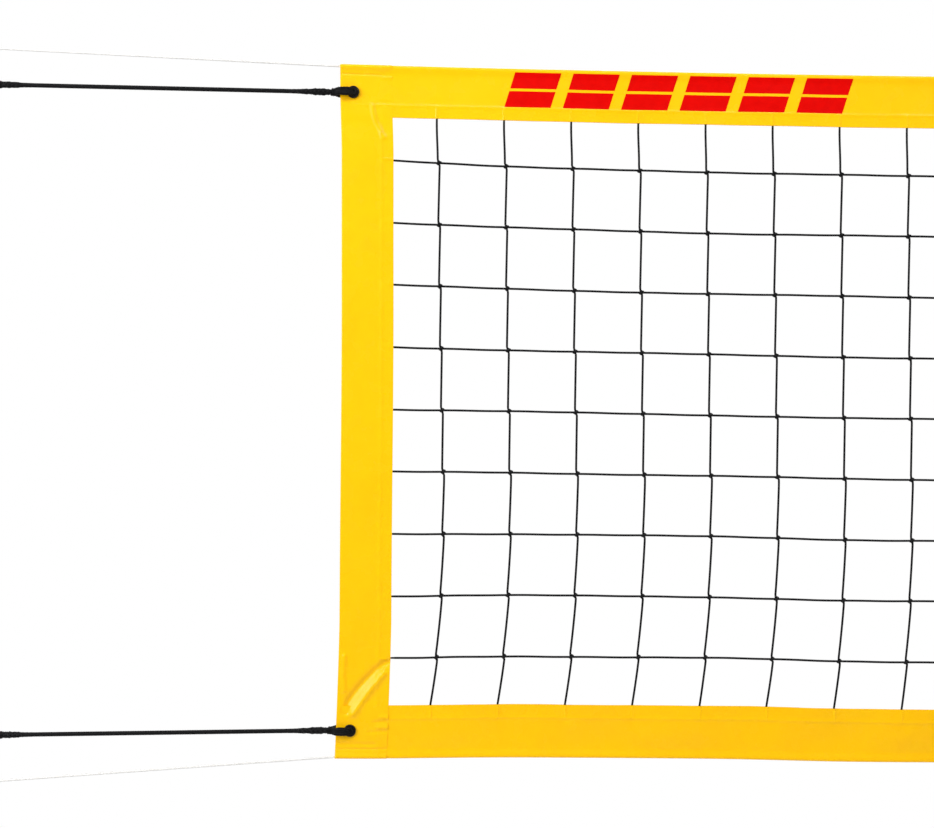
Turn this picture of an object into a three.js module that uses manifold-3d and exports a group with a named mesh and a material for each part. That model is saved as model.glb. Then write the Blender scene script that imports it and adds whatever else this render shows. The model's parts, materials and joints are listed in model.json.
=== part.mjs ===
// A beach volleyball net, 8.5 m by 1 m, hung between two free-standing poles.
// Millimetres, +X along the net, -Y its front face, +Z up, the floor at z = 0 midway between the poles.

import * as THREE from "three";
import { mergeVertices } from "three/addons/utils/BufferGeometryUtils.js";
import Module from "manifold-3d";

const wasm = await Module();
wasm.setup();

// ---------------------------------------------------------------- driving dimensions

// The net: its outline with the bands, and how far each level sags at mid-span.
const NET_LENGTH = 8500;
const NET_HEIGHT = 1022;
const NET_TOP = 2460; // the top edge at the net's two ends
const TOP_SAG = 30;
const BOTTOM_SAG = 10;
const SAG_POWER = 4; // a taut net is flat in the middle and drops near its ends

// The knotted netting: about 100 mm square meshes.
const ROWS = 9;
const FIRST_ROW_DROP = 137.5;
const ROW_PITCH = 92.3;
const FIRST_ROW_SAG = 45;
const LAST_ROW_SAG = 9;
const COLUMNS = 84;
const FIRST_COLUMN_INSET = 142;
const TWINE = 2.6;
const TWINE_LAYER = 2; // the thickness of the flat layer of rows, or of columns
const BORDER_TUCK = 16; // how far the netting's border lies inside the bands

// The PVC bands, each a strip folded round the netting's border.
const BAND = 75;
const TAPE = 1;
const TAPE_GAP = 4.9; // between the two plies of the top and bottom bands
const GAP = 0.3; // between neighbours

// The light lines in the hems, and the black corner ropes.
const LINE_RADIUS = 2;
const ROPE_RADIUS = 3;
const TOP_LINE_RISE = THREE.MathUtils.degToRad(3.1); // towards the pole
const BOTTOM_LINE_FALL = THREE.MathUtils.degToRad(4.2);
const UPPER_ROPE_RISE = THREE.MathUtils.degToRad(1.3);
const LOWER_ROPE_FALL = THREE.MathUtils.degToRad(0.8);

// The grommets in the four corners.
const GROMMET_INSET = 19.5; // from the net's side edge
const GROMMET_DROP = 41; // from its top or bottom edge
const LOWER_SPREAD = 5; // how much further out the lower grommets are pulled
const GROMMET_BORE = 6.7;
const GROMMET_BARREL = 7.5;
const GROMMET_FLANGE = 9;
const FLANGE_THICKNESS = 0.9;

// The poles and their bases.
const POLE_REACH = 650; // from the net's side edge to the pole's axis
const POLE_RADIUS = 40;
const POLE_WALL = 3;
const POLE_TOP = 2560;
const BASE_SIDE = 600;
const BASE_PLATE = 10;
const SOCKET_RADIUS = 46.5;
const SOCKET_HEIGHT = 190;
const ANCHOR_HOLE = 7;
const ANCHOR_SPACING = 500;
const CROSS_BOLT_RADIUS = 6;
const CROSS_BOLT_HEIGHT = 120;
const CROSS_HEAD_RADIUS = 10.5; // over the corners of its head and of its nut
const GUSSET_HALF = 4;
const GUSSET_MARGIN = 60; // from the plate's edge to the gusset's foot
const CAP_PLUG = 24; // how deep a cap's plug goes into the tube
const CAP_LIP = 1.5;
const CAP_HEIGHT = 9;

// The eye bolts, and the snap hooks that the corner ropes end in.
const EYE_RING = 15; // the radius of the ring's centre line
const EYE_WIRE = 4;
const EYE_STANDOFF = 27.5; // from the pole's face to the ring's centre
const EYE_DEPTH = 14; // of thread inside the pole
const LOCK_NUT_WIDTH = 13;
const HOOK_WIRE = 3;
const HOOK_BEND = 10; // the radius of the hook's two round ends
const HOOK_STRAIGHT = 34; // between the centres of those ends
const HOOK_CLEARANCE = 0.5; // between the hook and the eye bolt's ring
const GATE_RADIUS = 2.6;
const GATE_LUG_HALF = 3.6;
const NUT_THICKNESS = 6;
const LOOP_RADIUS = 7; // the rope's eye, at its centre line
const LOOP_CLEARANCE = 0.6; // between the rope's eye and the hook
const CINCH = 8.5; // from the net's edge to the knot where the rope's eye grips its own part
const KNOT_RADIUS = 6.6;
const SPLICE_LENGTH = 56;
const SPLICE_RADIUS = 4.9;

// The pulley in the right pole's head, and the winch below it.
const PULLEY_GROOVE = 26;
const PULLEY_RIM = 31;
const PULLEY_WIDTH = 10;
const PULLEY_OFFSET = 18; // from the pole's axis, away from the net
const PULLEY_AXLE = 4;
const AXLE_HEAD_RADIUS = 7;
const AXLE_HEAD_THICKNESS = 4;
const WINCH_HEIGHT = 1150;
const WINCH_OFFSET = 108; // from the pole's axis to the drum's axis
const DRUM_CORE = 18;
const DRUM_FLANGE = 34;
const DRUM_FRONT = -22;
const DRUM_BACK = 14;
const DRUM_FLANGE_THICKNESS = 3;
const SHAFT_RADIUS = 8;
const RATCHET_TIP = 30;
const RATCHET_ROOT = 25;
const RATCHET_TEETH = 12;
const RATCHET_BACK = 20;
const CHEEK_INNER = 24;
const CHEEK_THICKNESS = 3;
const FRAME_HALF_HEIGHT = 70;
const WINCH_SCREW_HALF_PITCH = 61;
const WINCH_SCREW_RADIUS = 4;
const CRANK_CLEARANCE = 3; // between the crank and the front of the pole
const CRANK_THICKNESS = 8;
const CRANK_LENGTH = 150;
const SPINDLE_RADIUS = 5;
const GRIP_RADIUS = 13;
const GRIP_LENGTH = 84;
const PAWL_PIVOT = [30, 40]; // from the drum's axis, across and up
const PAWL_PIN_RADIUS = 4;
const PAWL_PIN_HEAD = 6.5;

// ---------------------------------------------------------------- materials

const finishes = {
  pvc: { color: 0xffdb06, roughness: 0.35, metalness: 0 },
  twine: { color: 0x16161a, roughness: 0.9, metalness: 0 },
  rope: { color: 0x101012, roughness: 0.8, metalness: 0 },
  line: { color: 0xe4e2de, roughness: 0.6, metalness: 0 },
  eyelet: { color: 0x0c0c0e, roughness: 0.4, metalness: 0.3 },
  aluminium: { color: 0xb9bcc0, roughness: 0.35, metalness: 1 },
  steel: { color: 0x9b9ea2, roughness: 0.3, metalness: 1 },
  coated: { color: 0x2c2f33, roughness: 0.55, metalness: 0.2 },
  plastic: { color: 0x17181a, roughness: 0.6, metalness: 0 },
};

function mesh(name, geometry, finish) {
  const made = new THREE.Mesh(geometry, new THREE.MeshStandardMaterial(finishes[finish]));
  made.name = name;
  return made;
}

// ---------------------------------------------------------------- shape helpers

function toSolid(geometry) {
  const bare = geometry.clone();
  bare.deleteAttribute("normal");
  bare.deleteAttribute("uv");
  const merged = mergeVertices(bare, 1e-3);
  return new wasm.Manifold(
    new wasm.Mesh({
      numProp: 3,
      vertProperties: merged.attributes.position.array,
      triVerts: new Uint32Array(merged.index.array),
    }),
  );
}

function toGeometry(solid) {
  const { vertProperties, triVerts, numProp } = solid.getMesh();
  const points = new Float32Array((vertProperties.length / numProp) * 3);
  for (let i = 0; i < points.length / 3; i++)
    for (let k = 0; k < 3; k++) points[3 * i + k] = vertProperties[numProp * i + k];
  const geometry = new THREE.BufferGeometry();
  geometry.setAttribute("position", new THREE.BufferAttribute(points, 3));
  geometry.setIndex(new THREE.BufferAttribute(new Uint32Array(triVerts), 1));
  geometry.computeVertexNormals();
  return geometry;
}

function joined(pieces) {
  return toGeometry(pieces.map(toSolid).reduce((all, piece) => all.add(piece)));
}

function cut(body, tools) {
  return toGeometry(tools.map(toSolid).reduce((left, tool) => left.subtract(tool), toSolid(body)));
}

function box([x0, x1], [y0, y1], [z0, z1]) {
  const geometry = new THREE.BoxGeometry(x1 - x0, y1 - y0, z1 - z0);
  return geometry.translate((x0 + x1) / 2, (y0 + y1) / 2, (z0 + z1) / 2);
}

// A round bar between two points.
function rod(start, end, radius, sides = 12) {
  const [a, b] = [new THREE.Vector3(...start), new THREE.Vector3(...end)];
  const geometry = new THREE.CylinderGeometry(radius, radius, a.distanceTo(b), sides);
  const along = b.clone().sub(a).normalize();
  const turn = new THREE.Quaternion().setFromUnitVectors(new THREE.Vector3(0, 1, 0), along);
  geometry.applyQuaternion(turn);
  const middle = a.add(b).multiplyScalar(0.5);
  return geometry.translate(middle.x, middle.y, middle.z);
}

// A flat piece: an outline of [x, z] points, y0 to y1 thick.
function plate(outline, [y0, y1]) {
  const shape = new THREE.Shape(outline.map(([x, z]) => new THREE.Vector2(x, z)));
  const geometry = new THREE.ExtrudeGeometry(shape, { depth: y1 - y0, bevelEnabled: false });
  return geometry.rotateX(Math.PI / 2).translate(0, y1, 0);
}

// A turned piece about the Y axis: a closed profile of [radius, y] points.
function turned(profile, sides) {
  const points = profile.map(([r, y]) => new THREE.Vector2(r, y));
  return new THREE.LatheGeometry(points, sides);
}

function circle(radius, sides) {
  const points = [];
  for (let i = 0; i < sides; i++) {
    const angle = (2 * Math.PI * i) / sides;
    points.push(new THREE.Vector2(radius * Math.cos(angle), radius * Math.sin(angle)));
  }
  return new THREE.Shape(points);
}

// A tube along a curve.
function tube(curve, radius, steps, sides = 8) {
  return new THREE.ExtrudeGeometry(circle(radius, sides), {
    extrudePath: curve,
    steps,
    bevelEnabled: false,
  });
}

function smooth(points) {
  return new THREE.CatmullRomCurve3(points.map((p) => new THREE.Vector3(...p)), false, "centripetal");
}

function ring(radius, wire, tubular = 16, sides = 8) {
  return new THREE.TorusGeometry(radius, wire, sides, tubular);
}

// ---------------------------------------------------------------- the net's curves

const halfNet = NET_LENGTH / 2;

// 0 at the net's ends and 1 at mid-span.
function sagShare(x) {
  return 1 - Math.pow(Math.min(1, Math.abs(x) / halfNet), SAG_POWER);
}

function topEdge(x) {
  return NET_TOP - TOP_SAG * sagShare(x);
}

function bottomEdge(x) {
  return NET_TOP - NET_HEIGHT - BOTTOM_SAG * sagShare(x);
}

function rowHeight(row, x) {
  const sag = THREE.MathUtils.lerp(FIRST_ROW_SAG, LAST_ROW_SAG, row / (ROWS - 1));
  return NET_TOP - FIRST_ROW_DROP - ROW_PITCH * row - sag * sagShare(x);
}

// A flat strip that follows a level, from below it to above it.
function strip(level, below, above, reach, [y0, y1], steps) {
  const across = [];
  for (let i = 0; i <= steps; i++) across.push(-reach + (2 * reach * i) / steps);
  const lower = across.map((x) => [x, level(x) + below]);
  const upper = across.map((x) => [x, level(x) + above]).reverse();
  return plate([...lower, ...upper], [y0, y1]);
}

// ---------------------------------------------------------------- the netting

const SAG_STEPS = 12;
const borderReach = halfNet - BAND + BORDER_TUCK;
const frontLayer = [-GAP / 2 - TWINE_LAYER, -GAP / 2];
const backLayer = [GAP / 2, GAP / 2 + TWINE_LAYER];

function nettingRows() {
  const pieces = [];
  for (let row = 0; row < ROWS; row++) {
    const level = (x) => rowHeight(row, x);
    pieces.push(strip(level, -TWINE / 2, TWINE / 2, borderReach, frontLayer, SAG_STEPS));
  }
  const low = bottomEdge(borderReach) + BAND - BORDER_TUCK;
  const high = topEdge(borderReach) - BAND + BORDER_TUCK;
  for (const side of [-1, 1]) {
    const x = side * borderReach;
    pieces.push(box([x - TWINE / 2, x + TWINE / 2], frontLayer, [low, high]));
  }
  return joined(pieces);
}

function nettingColumns() {
  const top = (x) => topEdge(x) - BAND + BORDER_TUCK;
  const bottom = (x) => bottomEdge(x) + BAND - BORDER_TUCK;
  const first = FIRST_COLUMN_INSET - halfNet;
  const pitch = (-2 * first) / (COLUMNS - 1);
  const pieces = [
    strip(top, -TWINE / 2, TWINE / 2, borderReach, backLayer, SAG_STEPS),
    strip(bottom, -TWINE / 2, TWINE / 2, borderReach, backLayer, SAG_STEPS),
  ];
  for (let column = 0; column < COLUMNS; column++) {
    const x = first + pitch * column;
    pieces.push(box([x - TWINE / 2, x + TWINE / 2], backLayer, [bottom(x), top(x)]));
  }
  return joined(pieces);
}

// ---------------------------------------------------------------- the bands and grommets

const bandHalf = TAPE_GAP / 2 + TAPE; // half the thickness of the top and bottom bands
const sideGapHalf = bandHalf + GAP;
const sideHalf = sideGapHalf + TAPE; // half the thickness of the side bands
const bandReach = halfNet - TAPE - GAP;
const upperGrommetX = halfNet - GROMMET_INSET;
const lowerGrommetX = upperGrommetX + LOWER_SPREAD;
const upperGrommetZ = NET_TOP - GROMMET_DROP;
const lowerGrommetZ = NET_TOP - NET_HEIGHT + GROMMET_DROP;
const GROMMET_SIDES = 12;

function grommetHole(x, z) {
  const radius = (GROMMET_BARREL + GAP) / Math.cos(Math.PI / GROMMET_SIDES);
  return rod([x, -2 * sideHalf, z], [x, 2 * sideHalf, z], radius, GROMMET_SIDES);
}

// A strip folded over the hem line: two plies joined at the edge, open towards the netting.
function hemBand(edge, inward, grommetX, grommetZ) {
  const [below, above] = inward < 0 ? [-BAND, 0] : [0, BAND];
  const open = BAND + 2 * TAPE;
  const [slotBelow, slotAbove] = inward < 0 ? [-open, -TAPE] : [TAPE, open];
  const slot = [-TAPE_GAP / 2, TAPE_GAP / 2];
  return cut(strip(edge, below, above, bandReach, [-bandHalf, bandHalf], SAG_STEPS), [
    strip(edge, slotBelow, slotAbove, 2 * bandReach, slot, 2 * SAG_STEPS),
    grommetHole(-grommetX, grommetZ),
    grommetHole(grommetX, grommetZ),
  ]);
}

const upperLineZ = NET_TOP - TAPE - GAP - LINE_RADIUS;
const lowerLineZ = NET_TOP - NET_HEIGHT + TAPE + GAP + LINE_RADIUS;

// A strip folded round the net's side edge and over the ends of the top and bottom bands.
function sideBand(side) {
  const outer = side * halfNet;
  const inner = side * (halfNet - BAND);
  const spanX = [Math.min(outer, inner), Math.max(outer, inner)];
  const spanZ = [NET_TOP - NET_HEIGHT - TAPE, NET_TOP + TAPE];
  const slotX = side < 0 ? [outer + TAPE, inner + TAPE] : [inner - TAPE, outer - TAPE];
  const lineHole = (z) =>
    rod([outer - 2 * TAPE, 0, z], [outer + 2 * TAPE, 0, z], LINE_RADIUS + 2 * GAP);
  return cut(box(spanX, [-sideHalf, sideHalf], spanZ), [
    box(slotX, [-sideGapHalf, sideGapHalf], [spanZ[0] - TAPE, spanZ[1] + TAPE]),
    grommetHole(side * upperGrommetX, upperGrommetZ),
    grommetHole(side * lowerGrommetX, lowerGrommetZ),
    lineHole(upperLineZ),
    lineHole(lowerLineZ),
  ]);
}

function grommet() {
  const face = sideHalf + GAP;
  const outside = face + FLANGE_THICKNESS;
  const profile = [
    [GROMMET_BORE, -outside],
    [GROMMET_FLANGE, -outside],
    [GROMMET_FLANGE, -face],
    [GROMMET_BARREL, -face],
    [GROMMET_BARREL, face],
    [GROMMET_FLANGE, face],
    [GROMMET_FLANGE, outside],
    [GROMMET_BORE, outside],
    [GROMMET_BORE, -outside],
  ];
  return turned(profile, GROMMET_SIDES);
}

// ---------------------------------------------------------------- corner ropes and snap hooks
// Each corner has its own frame, with its origin level with the grommet and in line with the upper
// grommets, and +X towards the pole. The pull is how far the grommet lies from that origin.

const poleX = halfNet + POLE_REACH;
const eyeX = POLE_REACH + GROMMET_INSET - POLE_RADIUS - EYE_STANDOFF; // the ring's centre
const eyeInside = EYE_RING - EYE_WIRE;
const hookPoleEnd = eyeX - eyeInside + HOOK_WIRE + HOOK_CLEARANCE - HOOK_BEND;
const hookNetEnd = hookPoleEnd - HOOK_STRAIGHT;
const loopX = hookNetEnd - HOOK_BEND - LOOP_CLEARANCE;
const knotX = GROMMET_INSET + CINCH;

// A round bar along X that tapers: [x, radius] points.
function taper(profile) {
  const points = profile.map(([x, r]) => new THREE.Vector2(r, x));
  const closed = [new THREE.Vector2(0, profile[0][0]), ...points];
  closed.push(new THREE.Vector2(0, profile.at(-1)[0]));
  return new THREE.LatheGeometry(closed, 8).rotateZ(-Math.PI / 2);
}

// One of the two legs that pass from the knot over the band, through the grommet and back.
function eyeLeg(z) {
  const out = sideHalf + GAP + FLANGE_THICKNESS + GAP + ROPE_RADIUS;
  const half = [
    [knotX, 0, z],
    [knotX - 2.5, 5.2, z],
    [GROMMET_INSET + 1, out - 0.7, z],
    [GROMMET_INSET - 6, out, z],
    [GROMMET_INSET - 12, out + 0.3, z],
    [1.2, out - 2.5, z],
    [0, out - 6, z],
  ];
  const back = half.map(([x, y]) => [x, -y, z]).reverse();
  const legRadius = ROPE_RADIUS - 0.1;
  return tube(smooth([...half, ...back]), legRadius, 22, 6);
}

function cornerRope(pull) {
  const loopStart = loopX - LOOP_RADIUS;
  const knot = knotX + pull;
  const shaft = [
    [knot - 5, ROPE_RADIUS],
    [knot - 3, KNOT_RADIUS],
    [knot + 4, KNOT_RADIUS],
    [knot + 7, SPLICE_RADIUS],
    [knot + SPLICE_LENGTH, ROPE_RADIUS],
    [loopStart - SPLICE_LENGTH, ROPE_RADIUS],
    [loopStart - 8, SPLICE_RADIUS],
    [loopStart + 1, ROPE_RADIUS],
  ];
  const legSpread = ROPE_RADIUS + 0.05;
  return joined([
    taper(shaft),
    ring(LOOP_RADIUS, ROPE_RADIUS, 12, 6).translate(loopX, 0, 0),
    eyeLeg(legSpread).translate(pull, 0, 0),
    eyeLeg(-legSpread).translate(pull, 0, 0),
  ]);
}

// The hook's wire: from the gate's pivot round the pole end, along its spine, to the nose.
const hookFoot = hookPoleEnd - 1; // where the wire meets the gate's pivot
const hookNose = hookNetEnd - 1.4;

function snapHook() {
  const points = [[hookFoot, 0, -HOOK_BEND]];
  const arc = (centre, from, to) => {
    for (let i = 0; i <= 8; i++) {
      const angle = THREE.MathUtils.degToRad(from + ((to - from) * i) / 8);
      points.push([centre + HOOK_BEND * Math.cos(angle), 0, HOOK_BEND * Math.sin(angle)]);
    }
  };
  arc(hookPoleEnd, -85, 90);
  arc(hookNetEnd, 95, 262);
  return tube(smooth(points), HOOK_WIRE, 22);
}

// The gate: a lug on the pivot, and a bar from it to just short of the hook's nose.
function gate() {
  const pivotX = hookFoot - GAP - GATE_RADIUS;
  const tipX = hookNose + GAP + 1;
  return joined([
    rod([pivotX, -GATE_LUG_HALF, -HOOK_BEND], [pivotX, GATE_LUG_HALF, -HOOK_BEND], GATE_RADIUS, 10),
    rod([pivotX, 0, -HOOK_BEND], [tipX, 0, -HOOK_BEND], GATE_RADIUS - 0.2, 8),
  ]);
}

// ---------------------------------------------------------------- poles, bases and eye bolts

const upperEyeZ = upperGrommetZ + eyeX * Math.tan(UPPER_ROPE_RISE);
const lowerEyeZ = lowerGrommetZ - eyeX * Math.tan(LOWER_ROPE_FALL);
const lineReach = eyeX - GROMMET_INSET - EYE_RING; // from the net's edge to the ring's near side
const topLineEyeZ = upperLineZ + lineReach * Math.tan(TOP_LINE_RISE);
const bottomLineEyeZ = lowerLineZ - lineReach * Math.tan(BOTTOM_LINE_FALL);
const pulleyX = poleX + PULLEY_OFFSET;
const lineOnPulley = PULLEY_GROOVE + GAP + LINE_RADIUS;
const pulleyTopZ = upperLineZ + (pulleyX - halfNet) * Math.tan(TOP_LINE_RISE);
const pulleyZ = pulleyTopZ - lineOnPulley / Math.cos(TOP_LINE_RISE);
const POLE_SIDES = 24;
const AXLE_SIDES = 12;

// A ring on a threaded shank; the ring is level and its centre is at the origin, the pole at +X.
function eyeBolt() {
  const shankEnd = EYE_STANDOFF + EYE_DEPTH;
  return joined([
    ring(EYE_RING, EYE_WIRE, 14, 6),
    rod([EYE_RING, 0, 0], [shankEnd, 0, 0], EYE_WIRE, 8),
  ]);
}

function lockNut() {
  const end = EYE_STANDOFF - GAP;
  const start = end - NUT_THICKNESS;
  const nut = rod([start, 0, 0], [end, 0, 0], LOCK_NUT_WIDTH / Math.sqrt(3), 6);
  return cut(nut, [rod([start - 1, 0, 0], [end + 1, 0, 0], EYE_WIRE + GAP, 10)]);
}

function pole(side, eyeHeights, head) {
  const x = side * poleX;
  const bottom = BASE_PLATE + GAP;
  const faceX = side * (poleX - POLE_RADIUS);
  const shell = rod([x, 0, bottom], [x, 0, POLE_TOP], POLE_RADIUS, POLE_SIDES);
  const bore = rod([x, 0, bottom - 1], [x, 0, POLE_TOP + 1], POLE_RADIUS - POLE_WALL, POLE_SIDES);
  const eyeHole = (z) => rod([faceX - 8, 0, z], [faceX + 8, 0, z], EYE_WIRE + GAP, 10);
  const crossHole = rod(
    [x, -2 * POLE_RADIUS, CROSS_BOLT_HEIGHT],
    [x, 2 * POLE_RADIUS, CROSS_BOLT_HEIGHT],
    CROSS_BOLT_RADIUS + GAP,
  );
  return cut(shell, [bore, crossHole, ...eyeHeights.map(eyeHole), ...head]);
}

// The right pole's head is slotted for the line and the pulley, and drilled for its axle.
function pulleySlots() {
  const entry = box(
    [poleX - 2 * POLE_RADIUS, poleX - POLE_WALL],
    [-5, 5],
    [pulleyTopZ - 12, pulleyTopZ + 9],
  );
  const mouth = box(
    [poleX + POLE_WALL, poleX + 2 * POLE_RADIUS],
    [-PULLEY_WIDTH / 2 - 2, PULLEY_WIDTH / 2 + 2],
    [pulleyZ - PULLEY_RIM - 12, pulleyZ + PULLEY_RIM + 5],
  );
  const axle = rod(
    [pulleyX, -2 * POLE_RADIUS, pulleyZ],
    [pulleyX, 2 * POLE_RADIUS, pulleyZ],
    PULLEY_AXLE + GAP,
    AXLE_SIDES,
  );
  return [entry, mouth, axle];
}

function poleCap(side) {
  const skirt = POLE_RADIUS - POLE_WALL - GAP;
  const lip = POLE_RADIUS + CAP_LIP;
  const profile = [
    [0, -CAP_PLUG],
    [skirt, -CAP_PLUG],
    [skirt, GAP],
    [lip, GAP],
    [lip, CAP_HEIGHT - 3],
    [lip - 3.5, CAP_HEIGHT],
    [0, CAP_HEIGHT],
  ];
  return turned(profile, POLE_SIDES).rotateX(Math.PI / 2).translate(side * poleX, 0, POLE_TOP);
}

// A welded base: a drilled plate, a socket for the pole, and a gusset on each side.
function base(side) {
  const x = side * poleX;
  const half = BASE_SIDE / 2;
  const pieces = [
    box([x - half, x + half], [-half, half], [0, BASE_PLATE]),
    rod([x, 0, BASE_PLATE - 1], [x, 0, SOCKET_HEIGHT], SOCKET_RADIUS, POLE_SIDES),
  ];
  for (let quarter = 0; quarter < 4; quarter++) {
    const inner = SOCKET_RADIUS - 2;
    const foot = half - GUSSET_MARGIN;
    const outline = [
      [inner, BASE_PLATE - 1],
      [foot, BASE_PLATE - 1],
      [foot, BASE_PLATE + 12],
      [inner, SOCKET_HEIGHT - 40],
    ];
    const angle = (Math.PI / 4) * (2 * quarter + 1);
    const gusset = plate(outline, [-GUSSET_HALF, GUSSET_HALF]).rotateZ(angle);
    pieces.push(gusset.translate(x, 0, 0));
  }
  const tools = [
    rod([x, 0, BASE_PLATE], [x, 0, SOCKET_HEIGHT + 1], POLE_RADIUS + 2 * GAP, POLE_SIDES),
    rod(
      [x, -2 * SOCKET_RADIUS, CROSS_BOLT_HEIGHT],
      [x, 2 * SOCKET_RADIUS, CROSS_BOLT_HEIGHT],
      CROSS_BOLT_RADIUS + GAP,
    ),
  ];
  for (const dx of [-ANCHOR_SPACING / 2, ANCHOR_SPACING / 2])
    for (const y of [-ANCHOR_SPACING / 2, ANCHOR_SPACING / 2])
      tools.push(rod([x + dx, y, -1], [x + dx, y, BASE_PLATE + 1], ANCHOR_HOLE));
  return cut(joined(pieces), tools);
}

// The bolt across the socket: its head is in front, and it ends past the nut behind.
function crossBolt() {
  const face = SOCKET_RADIUS + GAP;
  return joined([
    rod([0, -face - 8, 0], [0, -face, 0], CROSS_HEAD_RADIUS, 6),
    rod([0, -face - 1, 0], [0, face + 14, 0], CROSS_BOLT_RADIUS, 12),
  ]);
}

function crossNut() {
  const face = SOCKET_RADIUS + GAP;
  const nut = rod([0, face, 0], [0, face + 10, 0], CROSS_HEAD_RADIUS, 6);
  return cut(nut, [rod([0, face - 1, 0], [0, face + 11, 0], CROSS_BOLT_RADIUS + GAP, 12)]);
}

// ---------------------------------------------------------------- the pulley

function pulleyWheel() {
  const half = PULLEY_WIDTH / 2;
  const bore = PULLEY_AXLE + GAP;
  const profile = [
    [bore, -half],
    [PULLEY_RIM, -half],
    [PULLEY_GROOVE, -LINE_RADIUS],
    [PULLEY_GROOVE, LINE_RADIUS],
    [PULLEY_RIM, half],
    [bore, half],
    [bore, -half],
  ];
  return turned(profile, 28);
}

function pulleyAxle() {
  const nearest = PULLEY_OFFSET - AXLE_HEAD_RADIUS; // the head's edge towards the pole's axis
  const face = Math.sqrt(POLE_RADIUS ** 2 - nearest ** 2) + GAP;
  const end = face + AXLE_HEAD_THICKNESS;
  return joined([
    rod([0, -end, 0], [0, end, 0], PULLEY_AXLE, AXLE_SIDES),
    rod([0, -end, 0], [0, -face, 0], AXLE_HEAD_RADIUS, AXLE_SIDES),
    rod([0, face, 0], [0, end, 0], AXLE_HEAD_RADIUS, AXLE_SIDES),
  ]);
}

// ---------------------------------------------------------------- the winch
// Its own frame: the drum's axis is the Y axis, the pole at -X.

const winchX = poleX + WINCH_OFFSET;
const windingInner = DRUM_CORE + GAP;
const windingOuter = windingInner + 2 * LINE_RADIUS;
const lineOnDrum = windingInner + LINE_RADIUS;
const frameBack = -WINCH_OFFSET + POLE_RADIUS + GAP;
const crankBack = -POLE_RADIUS - CRANK_CLEARANCE; // the crank swings past the front of the pole
const crankFront = crankBack - CRANK_THICKNESS;

// A plate bent to a U: its back is against the pole, and its cheeks hold the drum's shaft.
function winchFrame() {
  const outer = CHEEK_INNER + CHEEK_THICKNESS;
  const cheek = [
    [frameBack, -52],
    [frameBack + 8, -52],
    [28, -16],
    [28, 16],
    [44, 38],
    [30, 54],
    [frameBack + 8, 52],
    [frameBack, 52],
  ];
  const backPlate = [frameBack, frameBack + CHEEK_THICKNESS];
  const shell = joined([
    box(backPlate, [-outer, outer], [-FRAME_HALF_HEIGHT, FRAME_HALF_HEIGHT]),
    plate(cheek, [-outer, -CHEEK_INNER]),
    plate(cheek, [CHEEK_INNER, outer]),
  ]);
  const [px, pz] = PAWL_PIVOT;
  const screwHole = (z) =>
    rod([frameBack - 1, 0, z], [frameBack + 9, 0, z], WINCH_SCREW_RADIUS + GAP, 10);
  return cut(shell, [
    rod([0, -2 * outer, 0], [0, 2 * outer, 0], SHAFT_RADIUS + GAP, 16),
    rod([px, 0, pz], [px, 2 * outer, pz], PAWL_PIN_RADIUS + GAP),
    screwHole(-WINCH_SCREW_HALF_PITCH),
    screwHole(WINCH_SCREW_HALF_PITCH),
  ]);
}

// A hexagon-head screw through the frame's back into the pole.
function winchScrew() {
  const face = frameBack + CHEEK_THICKNESS;
  return joined([
    rod([frameBack - 14, 0, 0], [face + 1, 0, 0], WINCH_SCREW_RADIUS, 10),
    rod([face + GAP, 0, 0], [face + 5, 0, 0], 7, 6),
  ]);
}

// A tooth's crest stands under the tip of the pawl.
function ratchetOutline() {
  const crest = THREE.MathUtils.degToRad(83);
  const points = [];
  for (let tooth = 0; tooth < RATCHET_TEETH; tooth++) {
    const angle = crest + (2 * Math.PI * tooth) / RATCHET_TEETH;
    for (const radius of [RATCHET_ROOT, RATCHET_TIP])
      points.push([radius * Math.cos(angle), radius * Math.sin(angle)]);
  }
  return points;
}

// The drum, its ratchet and its shaft turn as one.
function drum() {
  const inFront = DRUM_FRONT + DRUM_FLANGE_THICKNESS;
  const behind = DRUM_BACK - DRUM_FLANGE_THICKNESS;
  return joined([
    rod([0, DRUM_FRONT, 0], [0, inFront, 0], DRUM_FLANGE, 20),
    rod([0, DRUM_FRONT + 1, 0], [0, DRUM_BACK + 1, 0], DRUM_CORE, 16),
    rod([0, behind, 0], [0, DRUM_BACK, 0], DRUM_FLANGE, 20),
    plate(ratchetOutline(), [DRUM_BACK - 1, RATCHET_BACK]),
    rod([0, crankFront + GAP, 0], [0, CHEEK_INNER + CHEEK_THICKNESS + 6, 0], SHAFT_RADIUS, 16),
  ]);
}

function lineTurns() {
  const front = DRUM_FRONT + DRUM_FLANGE_THICKNESS + GAP;
  const back = DRUM_BACK - DRUM_FLANGE_THICKNESS - GAP;
  const profile = [
    [windingInner, front],
    [windingOuter, front],
    [windingOuter, back],
    [windingInner, back],
    [windingInner, front],
  ];
  return turned(profile, 24);
}

// The crank hangs down: a hub on the shaft, a flat arm, and the spindle that the grip spins on.
function crankArm() {
  const tip = -CRANK_LENGTH - 9;
  const arm = [
    [-11, 4],
    [-9, tip],
    [9, tip],
    [11, 4],
  ];
  const end = crankFront - GRIP_LENGTH - 6;
  const solid = joined([
    rod([0, crankFront, 0], [0, crankBack, 0], 16, 20),
    plate(arm, [crankFront, crankBack]),
    rod([0, crankBack - 2, -CRANK_LENGTH], [0, end, -CRANK_LENGTH], SPINDLE_RADIUS, 12),
    rod([0, end - 3, -CRANK_LENGTH], [0, end, -CRANK_LENGTH], SPINDLE_RADIUS + 3, 12),
  ]);
  return cut(solid, [rod([0, crankFront - 1, 0], [0, crankBack + 1, 0], SHAFT_RADIUS + GAP, 16)]);
}

function crankBolt() {
  const face = crankFront - GAP;
  return joined([
    rod([0, face - 5, 0], [0, face, 0], 14, 6),
    rod([0, face - 9, 0], [0, face - 4, 0], 9, 12),
  ]);
}

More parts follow.
